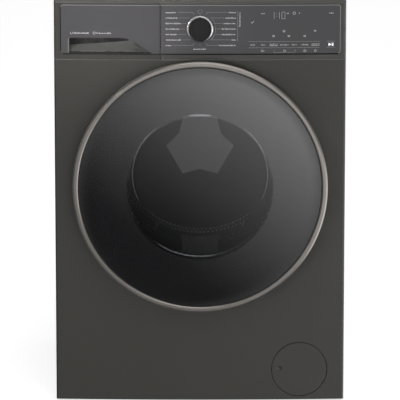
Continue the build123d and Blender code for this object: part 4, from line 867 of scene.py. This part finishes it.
# ---- Printing on the fascia ----
class Print:
    """Flat marks on the convex overlay, in millimetres from the dial's centre."""

    def __init__(self, lift=0.06):
        self.points, self.faces = [], []
        self.proud = INSERT_PROUD + lift * MM

    def face(self, corners):
        start = len(self.points)
        for x, z in corners:
            self.points.append((x * MM, front_y(x * MM) - self.proud, DIAL_Z + z * MM))
        self.faces.append(tuple(range(start, len(self.points))))

    def box(self, x0, x1, z0, z1):
        self.face([(x0, z0), (x1, z0), (x1, z1), (x0, z1)])

    def line(self, points, width=THIN):
        for (x0, z0), (x1, z1) in zip(points, points[1:]):
            length = math.hypot(x1 - x0, z1 - z0)
            across_x, across_z = (z1 - z0) / length * width / 2, (x0 - x1) / length * width / 2
            parts = max(1, int(length / 20))
            for i in range(parts):
                a, b = i / parts, (i + 1) / parts
                ax, az = x0 + (x1 - x0) * a, z0 + (z1 - z0) * a
                bx, bz = x0 + (x1 - x0) * b, z0 + (z1 - z0) * b
                self.face([(ax - across_x, az - across_z), (ax + across_x, az + across_z),
                           (bx + across_x, bz + across_z), (bx - across_x, bz - across_z)])

    def arc(self, x, z, radius, first_deg, last_deg, width=THIN, steps=24):
        """Part of a ring, its angles clockwise from straight up."""
        turns = [math.radians(first_deg + (last_deg - first_deg) * i / steps) for i in range(steps + 1)]
        self.line([(x + radius * math.sin(t), z + radius * math.cos(t)) for t in turns], width)

    def word(self, x0, x1, z, height=2.8, upright=False):
        """A row of plain strokes that stands for a printed label."""
        at, low = x0, z - height / 2
        while at < x1 - 0.4:
            if random.random() < 0.12:
                at += 1.0
            tall = height * random.choice((0.65, 0.65, 1.0))
            strokes = [[(at, low), (at, low + tall)]]
            if random.random() < 0.7:
                level = low + random.choice((0.25, height * 0.4))
                strokes.append([(at, level), (at + 0.95, level)])
            for stroke in strokes:
                self.line([(-b, a) for a, b in stroke] if upright else stroke, STROKE)
            at += random.uniform(1.3, 1.8)

    def put(self, name, material, body="cabinet"):
        mesh = mesh_of(name, self.points, self.faces)
        return piece(name, mesh, body, "fascia_overlay", material, smooth=False)


ROW_COUNT = 7
ROW_PITCH = 11.3
ROW_SHIFT = -0.3
LEADER_R = 30.4
LEADER_TURN_X = 14.5        # where the leaders above and below the dial turn towards it
LEADER_END = (11.2, 28.4)
LEFT_X, RIGHT_X = -69.6, 73.0
LEFT_WORDS = (20.9, 24.0, 30.9, 27.2, 21.9, 31.5, 11.3)
RIGHT_WORDS = (13.9, 21.0, 24.5, 28.0, 28.4, 10.7, 34.3)
BRACKET_X = 76.7


def programme_labels():
    """Seven labels each side of the dial, each with a leader towards it."""
    marks = Print()
    for row in range(ROW_COUNT):
        z = (ROW_COUNT // 2 - row) * ROW_PITCH + ROW_SHIFT
        for side, outer, length in ((-1, LEFT_X, LEFT_WORDS[row]), (1, RIGHT_X, RIGHT_WORDS[row])):
            word_end = outer - side * length
            marks.word(min(outer, word_end), max(outer, word_end), z)
            leader_x = word_end - side * 2.6
            if abs(z) < LEADER_R:
                marks.line([(leader_x, z), (side * math.sqrt(LEADER_R ** 2 - z * z), z)])
            else:
                end = (side * LEADER_END[0], math.copysign(LEADER_END[1], z))
                marks.line([(leader_x, z), (side * LEADER_TURN_X, z), end])
    marks.arc(0, 0, LEADER_R + 1.6, 46, 134)
    marks.line([(BRACKET_X, -25.4), (BRACKET_X, 36.5)])
    marks.word(4.8, 34.8, -BRACKET_X - 4.1, 2.6, upright=True)
    marks.arc(0, 35.5, 4.2, 25, 335)
    marks.line([(0, -31.4), (0, -35.0)])
    marks.word(-13, 13, -41.9)
    return marks.put("programme_print", INK)


SEGMENTS = {"0": "abcdef", "1": "bc"}
SEGMENT_ENDS = {
    "a": ((0, 2), (1, 2)), "b": ((1, 2), (1, 1)), "c": ((1, 1), (1, 0)),
    "d": ((0, 0), (1, 0)), "e": ((0, 1), (0, 0)), "f": ((0, 2), (0, 1)),
}
DIGITS_AT = ((144.6, "1"), (155.4, "1"), (166.6, "0"))
DIGIT_W, DIGIT_H = 6.2, 6.9
DIGIT_Z = 20.2
DISPLAY_Z = 31.5


def display_digits():
    """Remaining time on a segment display, with the small marks beside it."""
    lamps = Print(0.03)
    for x, digit in DIGITS_AT:
        for name in SEGMENTS[digit]:
            ends = [(x + DIGIT_W * u, DIGIT_Z + DIGIT_H * v) for u, v in SEGMENT_ENDS[name]]
            lamps.line(ends, 0.55)
    for z in (DIGIT_Z + DIGIT_H * 0.6, DIGIT_Z + DIGIT_H * 1.4):
        lamps.box(155.6, 156.5, z, z + 0.9)
    lamps.arc(202.3, DISPLAY_Z, 0.6, 0, 360, 1.2, 10)
    return lamps.put("display_segments", DIGITS)


KEY_X = 107.7
KEY_PITCH = 21.3
KEY_HALVES = (5.0, 4.2, 8.0, 8.6, 5.6, 8.2, 8.0)
TWO_LINE_KEYS = (2, 6)
KEY_TOP_Z, KEY_LOW_Z = -26.7, -39.4
KEY_ICON_Z = -46.0
LINK_X = (150.6, 193.6)     # the bracket that links two keys


def key_band():
    """Printed frame and captions of the touch keys, and the icons above and below."""
    marks = Print()
    for z in (KEY_TOP_Z, KEY_LOW_Z):
        marks.line([(99.5, z), (244, z)])
        marks.line([(258.3, z), (275.6, z)])
    for key, half in enumerate(KEY_HALVES):
        x = KEY_X + key * KEY_PITCH
        for z, height in ((-31.9, 1.8), (-34.9, 1.8)) if key in TWO_LINE_KEYS else ((-33.4, 1.9),):
            marks.word(x - half, x + half, z, height)
    left, right = LINK_X
    marks.line([(left, -47.6), (left, -49.3), (right, -49.3), (right, -47.6)])
    for x in LINK_X:
        marks.line([(x - 1.4, -45.6), (x + 1.4, -45.6)])
    marks.line([(right, -47.0), (right, -44.2)])
    for x in (126.8, 172.2, 213.3, 235.0):
        marks.arc(x, KEY_ICON_Z, 2.0, 0, 360, 0.6, 14)
        marks.line([(x + 3.4, KEY_ICON_Z - 1.2), (x + 4.6, KEY_ICON_Z + 1.0)])
    display_icons(marks)
    return marks.put("key_print", INK)


def display_icons(marks):
    """Unlit marks round the display."""
    for x, reach in ((128.2, 4.5), (179.0, 2.4), (267.8, 4.5)):
        marks.word(x - reach, x + reach, DISPLAY_Z, 2.2)
    marks.arc(191.9, DISPLAY_Z, 2.7, 0, 360, BOLD, 16)
    marks.line([(103.8, 13.2), (106.0, 11.4), (109.6, 15.8)], BOLD)
    for x, z in ((171.0, -5.2), (149.8, -15.2), (181.0, -15.2), (213.3, -15.2)):
        marks.arc(x, z, 2.1, 30, 330, BOLD, 12)
        marks.line([(x - 1.2, z), (x + 1.2, z)], BOLD)
    for radius in (1.4, 2.8, 4.2):
        marks.arc(234.5, -8.0, radius, -42, 42, 0.6, 8)


START_X = 262.0
START_Z, START_HALF = -33.3, 3.3


def start_key():
    """Bright start and pause symbol."""
    lamps = Print(0.03)
    low, high = START_Z - START_HALF, START_Z + START_HALF
    lamps.face([(START_X, low), (START_X + 5.6, START_Z), (START_X, high)])
    for x in (START_X + 6.6, START_X + 8.6):
        lamps.box(x, x + 1.2, low, high)
    return lamps.put("start_symbol", LIT)


DRAWER_MARK_Z = -9.6


def drawer_marks():
    """Generic dashes on the drawer front in place of any lettering."""
    marks = Print()
    marks.arc(-262.0, DRAWER_MARK_Z, 2.3, 30, 330, 0.6, 14)
    marks.word(-258, -227, DRAWER_MARK_Z, 2.8)
    marks.arc(-215.5, DRAWER_MARK_Z, 2.5, 0, 360, 0.6, 14)
    marks.word(-211, -181, DRAWER_MARK_Z, 2.8)
    return marks.put("drawer_print", INK, "drawer")


EDGE_IN = 0.9               # middle of the painted highlight along the edge, inside the overlay's outline
EDGE_W = 1.0
CORNER_R = 4.6
GRIP_EDGE_X = -268.6
GRIP_EDGE_TOP_Z = 766.0


def overlay_edges():
    """Painted highlights along the edges of the overlay and of the finger recess, and a dark gap at the
    far left.
    """
    left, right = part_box("drawer_insert")[0].x / MM + EDGE_IN, INSERT_HI.x / MM - EDGE_IN
    split = INSERT_LO.x / MM
    top, low = (INSERT_HI.z - DIAL_Z) / MM - EDGE_IN, (INSERT_LO.z - DIAL_Z) / MM + EDGE_IN
    bend_x, bend_top, bend_low = right - CORNER_R, top - CORNER_R, low + CORNER_R
    edges = Print(0.05)
    edges.line([(split + 0.6, top), (bend_x, top)], EDGE_W)
    edges.arc(bend_x, bend_top, CORNER_R, 0, 90, EDGE_W, 8)
    edges.line([(right, bend_top), (right, bend_low)], EDGE_W)
    edges.arc(bend_x, bend_low, CORNER_R, 90, 180, EDGE_W, 8)
    edges.put("overlay_edge", EDGE_HIGHLIGHT)
    edges = Print(0.05)
    edges.line([(left + CORNER_R, top), (split - 2.0, top)], EDGE_W)
    edges.arc(left + CORNER_R, bend_top, CORNER_R, 290, 360, EDGE_W, 8)
    edges.line([(GRIP_EDGE_X, low + 0.8), (GRIP_EDGE_X, GRIP_EDGE_TOP_Z - DIAL_Z / MM)], 1.2)
    edges.put("drawer_edge", EDGE_HIGHLIGHT, "drawer")
    gap_x = left - EDGE_IN - EDGE_W
    edges = Print(0.05)
    edges.line([(gap_x, bend_low), (gap_x, bend_top)], 1.6)
    edges.put("drawer_edge_gap", SHADE, "drawer")


def strip_mesh(name, x0, x1, z0, z1, front, back, parts=60):
    """A thin bar along the convex front, from front to back behind its face."""
    points, faces = [], []
    for i in range(parts + 1):
        x = x0 + (x1 - x0) * i / parts
        for y, z in ((front, z0), (back, z0), (back, z1), (front, z1)):
            points.append((x, front_y(x) + y, z))
    for i in range(parts):
        a, b = 4 * i, 4 * (i + 1)
        for k in range(4):
            faces.append((a + k, a + (k + 1) % 4, b + (k + 1) % 4, b + k))
    last = 4 * parts
    faces += [(3, 2, 1, 0), (last, last + 1, last + 2, last + 3)]
    return mesh_of(name, points, faces)


def front_seams():
    """Painted highlights along the seam over the front panel and along the edge under the worktop, and a
    painted shadow under the overlay.
    """
    edge, inset, split_x = HALF_W - 3 * MM, 4 * MM, INSERT_LO.x
    drawer_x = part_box("drawer_insert")[0].x
    seam_z, top_z, low_z = PANEL_HI.z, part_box("fascia_frame")[1].z, INSERT_LO.z
    # seam and lip place painted highlights; line places a painted shadow under the overlay
    seam = (seam_z + 0.1 * MM, seam_z + 1.1 * MM, 0.2 * MM, 5 * MM)
    lip = (top_z - 1.6 * MM, top_z - 0.5 * MM, -0.2 * MM, 3 * MM)
    line = (low_z - 2.4 * MM, low_z - 0.1 * MM, -0.15 * MM, 0.8 * MM)
    for name, body, slot, material, x0, x1, place in (
        ("panel_seam_highlight", "cabinet", "body_paint", SEAM_HIGHLIGHT, -edge, edge, seam),
        ("fascia_top_edge_highlight", "cabinet", "fascia_plastic", SEAM_HIGHLIGHT, split_x, edge, lip),
        ("drawer_top_edge_highlight", "drawer", "fascia_plastic", SEAM_HIGHLIGHT, -edge, split_x - 2 * MM, lip),
        # painted shadow under the proud overlay
        ("overlay_shadow_line", "cabinet", "fascia_plastic", SHADE, split_x, INSERT_HI.x - inset, line),
        ("drawer_shadow_line", "drawer", "fascia_plastic", SHADE, drawer_x + inset, split_x - 0.6 * MM, line),
    ):
        piece(name, strip_mesh(name, x0, x1, *place), body, slot, material, smooth=False)


SCOOP_LEFT, SCOOP_RIGHT = -266.5, -97.0
SCOOP_SLOPE_X = -151.0      # where its right edge starts to slope out, at the top
SCOOP_TOP, SCOOP_FOOT = 767.5, 738.6
SCOOP_DEEP, SCOOP_SHALLOW = 25.5, 1.5
SCOOP_ROWS, SCOOP_COLUMNS = 20, 24


def grip_scoop():
    """Floor of the finger recess, scooped forward at its foot, painted lighter as lit and with painted
    shade along its foot and sloping side.
    """
    points, faces = [], []
    for row in range(SCOOP_ROWS + 1):
        share = row / SCOOP_ROWS
        z = SCOOP_TOP + (SCOOP_FOOT - SCOOP_TOP) * share
        back = SCOOP_DEEP + (SCOOP_SHALLOW - SCOOP_DEEP) * share ** 3.2
        edge = SCOOP_SLOPE_X + (SCOOP_RIGHT - SCOOP_SLOPE_X) * share ** 1.25
        for column in range(SCOOP_COLUMNS + 1):
            x = SCOOP_LEFT + (edge - SCOOP_LEFT) * column / SCOOP_COLUMNS
            points.append((x * MM, front_y(x * MM) + back * MM, z * MM))
    for row in range(SCOOP_ROWS):
        for column in range(SCOOP_COLUMNS):
            a = row * (SCOOP_COLUMNS + 1) + column
            b = a + SCOOP_COLUMNS + 1
            faces.append((a, a + 1, b + 1, b))
    scoop = piece("grip_scoop", mesh_of("grip_scoop", points, faces), "drawer", "fascia_plastic", GRIP_LIGHT_AND_SHADE)
    skin = scoop.modifiers.new("skin", "SOLIDIFY")
    skin.thickness, skin.offset = 0.8 * MM, -1.0


NOTCH_IN = 15.4 * MM        # from the cover's left edge to the notch
NOTCH_UP = 1.5 * MM
NOTCH_R = 6.6 * MM
NOTCH_DEEP = 2.2 * MM


def service_cover():
    """The round cover, with a wide finger notch scooped out near its left edge."""
    source = NODES["filter_cover"]
    low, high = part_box("filter_cover")
    x, z = low.x + NOTCH_IN, (low.z + high.z) / 2 + NOTCH_UP
    y = front_y(x)
    outline = [(0.0, y + NOTCH_DEEP), (4.0 * MM, y + 1.2 * MM), (NOTCH_R, y - 0.4 * MM),
               (NOTCH_R, y - 4 * MM), (0.0, y - 4 * MM)]
    scoop = placed("notch_scoop", lathe_mesh("notch_scoop", outline, 40, (x, z)))
    blank = placed("cover_blank", source.data.copy())
    blank.data.transform(source.matrix_world)
    cut = blank.modifiers.new("notch", "BOOLEAN")
    cut.operation, cut.object, cut.solver = "DIFFERENCE", scoop, "EXACT"
    mesh = bpy.data.meshes.new_from_object(blank.evaluated_get(bpy.context.evaluated_depsgraph_get()))
    mesh.name = "service_cover"
    mesh.materials.clear()
    for obj in (scoop, blank):
        bpy.data.objects.remove(obj)
    piece("service_cover", mesh, "service_cover", "body_paint", replaces=["filter_cover"], smooth=False)


# ---- Connections at the rear ----
def inlet_thread():
    """The hose thread on the water inlet."""
    centre = MOUNTS["water_inlet"]
    end_y = CAD_BOX[1].y
    radius, pitch, turns, steps = 12.9 * MM, 1.8 * MM, 5, 36
    path = []
    for i in range(turns * steps + 1):
        angle = 2 * math.pi * i / steps
        y = end_y - 1.6 * MM - pitch * i / steps
        path.append((centre.x + radius * math.sin(angle), y, centre.z + radius * math.cos(angle)))
    mesh = tube_mesh("inlet_thread", path, lambda share: 0.6 * MM, 8)
    return piece("inlet_thread", mesh, "cabinet", "valve_plastic")


def spigot_barbs():
    """Two rounded barbs on the drain spigot."""
    centre = MOUNTS["drain_spigot"]
    rings = []
    for back in (2.5 * MM, 7.0 * MM):
        y = CAD_BOX[1].y - back
        outline = [(9.3 * MM, y - 1.4 * MM), (10.4 * MM, y), (9.3 * MM, y + 1.4 * MM)]
        rings.append(lathe_mesh("barb", outline, 48, (centre.x, centre.z)))
    return piece("spigot_barbs", joined("spigot_barbs", rings), "cabinet", "grey_hose")


# ---- Studio ----
FLOOR_HALF = 30.0
WALL_R, WALL_SIDES = 29.0, 96
WALL_FOOT, WALL_TOP = -1.0, 14.0


def studio_floor():
    """A plain pale floor that reflections look past."""
    corners = [(x * FLOOR_HALF, y * FLOOR_HALF, 0) for x, y in ((-1, -1), (1, -1), (1, 1), (-1, 1))]
    mesh = mesh_of("floor", corners, [(0, 1, 2, 3)])
    floor = placed("floor", mesh)
    s = Shader("floor_paint", srgb(247, 247, 247), 0.9)
    s.set(emission_color=srgb(255, 255, 255), emission_strength=0.70)
    mesh.materials.append(s.vary(0.01, 0.6).mat)
    floor.visible_glossy = False


def studio_wall():
    """A plain pale wall far round the object, which lights and reflections look past."""
    points, faces = [], []
    for side in range(WALL_SIDES):
        angle = 2 * math.pi * side / WALL_SIDES
        points += [(WALL_R * math.sin(angle), WALL_R * math.cos(angle), z) for z in (WALL_FOOT, WALL_TOP)]
        here, there = 2 * side, 2 * ((side + 1) % WALL_SIDES)
        faces.append((here, here + 1, there + 1, there))
    mesh = mesh_of("wall", points, faces)
    wall = placed("wall", mesh)
    s = Shader("wall_paint", srgb(0, 0, 0), 0.9)
    s.set(emission_color=srgb(255, 255, 255), emission_strength=0.97, specular_ior_level=0.0)
    mesh.materials.append(s.mat)
    wall.visible_diffuse = wall.visible_glossy = wall.visible_shadow = False


def studio_sky():
    """Even light above; a glow low in front on the right, which only reflections see."""
    world = bpy.data.worlds.new("studio")
    bpy.context.scene.world = world
    world.use_nodes = True
    sky = Nodes(world.node_tree)
    split = sky.add("ShaderNodeSeparateXYZ")
    sky.link(sky.add("ShaderNodeTexCoord").outputs["Generated"], split.inputs["Vector"])
    x, z = split.outputs["X"], split.outputs["Z"]
    lean = sky.math("ADD", sky.math("MULTIPLY", x, GLOW_LEAN), z)
    glow = sky.math("POWER", sky.remap(lean, 0.0, 1.0, GLOW_DARK, GLOW_LIGHT), GLOW_CURVE)
    glow = sky.math("MULTIPLY", glow, GLOW_STRENGTH)
    above = sky.remap(z, 0.0, 1.0, -0.02, 0.02)
    below = sky.math("SUBTRACT", 1.0, above)
    total = sky.math("ADD", sky.math("MULTIPLY", above, SKY_STRENGTH), sky.math("MULTIPLY", below, glow))
    back = world.node_tree.nodes["Background"]
    back.inputs["Color"].default_value = (1.0, 1.0, 1.0, 1.0)
    sky.link(total, back.inputs["Strength"])


def softbox(name, place, target, size, watts, spread=180):
    """A square area light aimed at a point, its beam narrowed by spread."""
    light = bpy.data.lights.new(name, "AREA")
    light.energy, light.size, light.spread = watts, size, math.radians(spread)
    lamp = placed(name, light)
    lamp.location = place
    lamp.rotation_euler = (Vector(target) - Vector(place)).to_track_quat("-Z", "Y").to_euler()
    lamp.visible_camera = False


def studio_camera():
    """Long lens a little above the worktop, looking at the middle of the front."""
    data = bpy.data.cameras.new("camera")
    data.lens, data.sensor_width, data.clip_end = 356.9, 36.0, 200.0
    camera = placed("camera", data)
    camera.location = (0.0, -8.23175, 2.1242)
    camera.rotation_euler = (math.radians(78), 0.0, 0.0)
    bpy.context.scene.camera = camera


GLOW_LEAN = 0.75
GLOW_DARK = -0.27
GLOW_LIGHT = -0.085
GLOW_CURVE = 1.5
GLOW_STRENGTH = 3.4
SKY_STRENGTH = 0.26

random.seed(7)
studio_camera()
studio_floor()
studio_wall()
studio_sky()
softbox("top_box", (0.6, -1.6, 3.4), (0, 0, 0.5), 2.6, 52)
softbox("front_box", (-0.3, -4.4, 2.4), (0, 0, 0.45), 2.2, 15)
softbox("left_box", (-1.7, -2.6, 0.45), (-0.2, 0, 0.7), 0.8, 12)
softbox("fascia_box", (-1.1, -1.5, 1.1), (-0.17, -0.26, 0.80), 0.3, 0.22, 12)
bpy.context.scene.view_settings.view_transform = "Standard"

finish_cad_nodes()
door_glass()
door_ring()
door_bowl()
drum_skin()
drum_star()
drum_back_dimples()
gasket()
for side in (-1, 1):
    spring(side)
hoses()
programme_labels()
display_digits()
key_band()
start_key()
drawer_marks()
overlay_edges()
front_seams()
grip_scoop()
inlet_thread()
spigot_barbs()
service_cover()
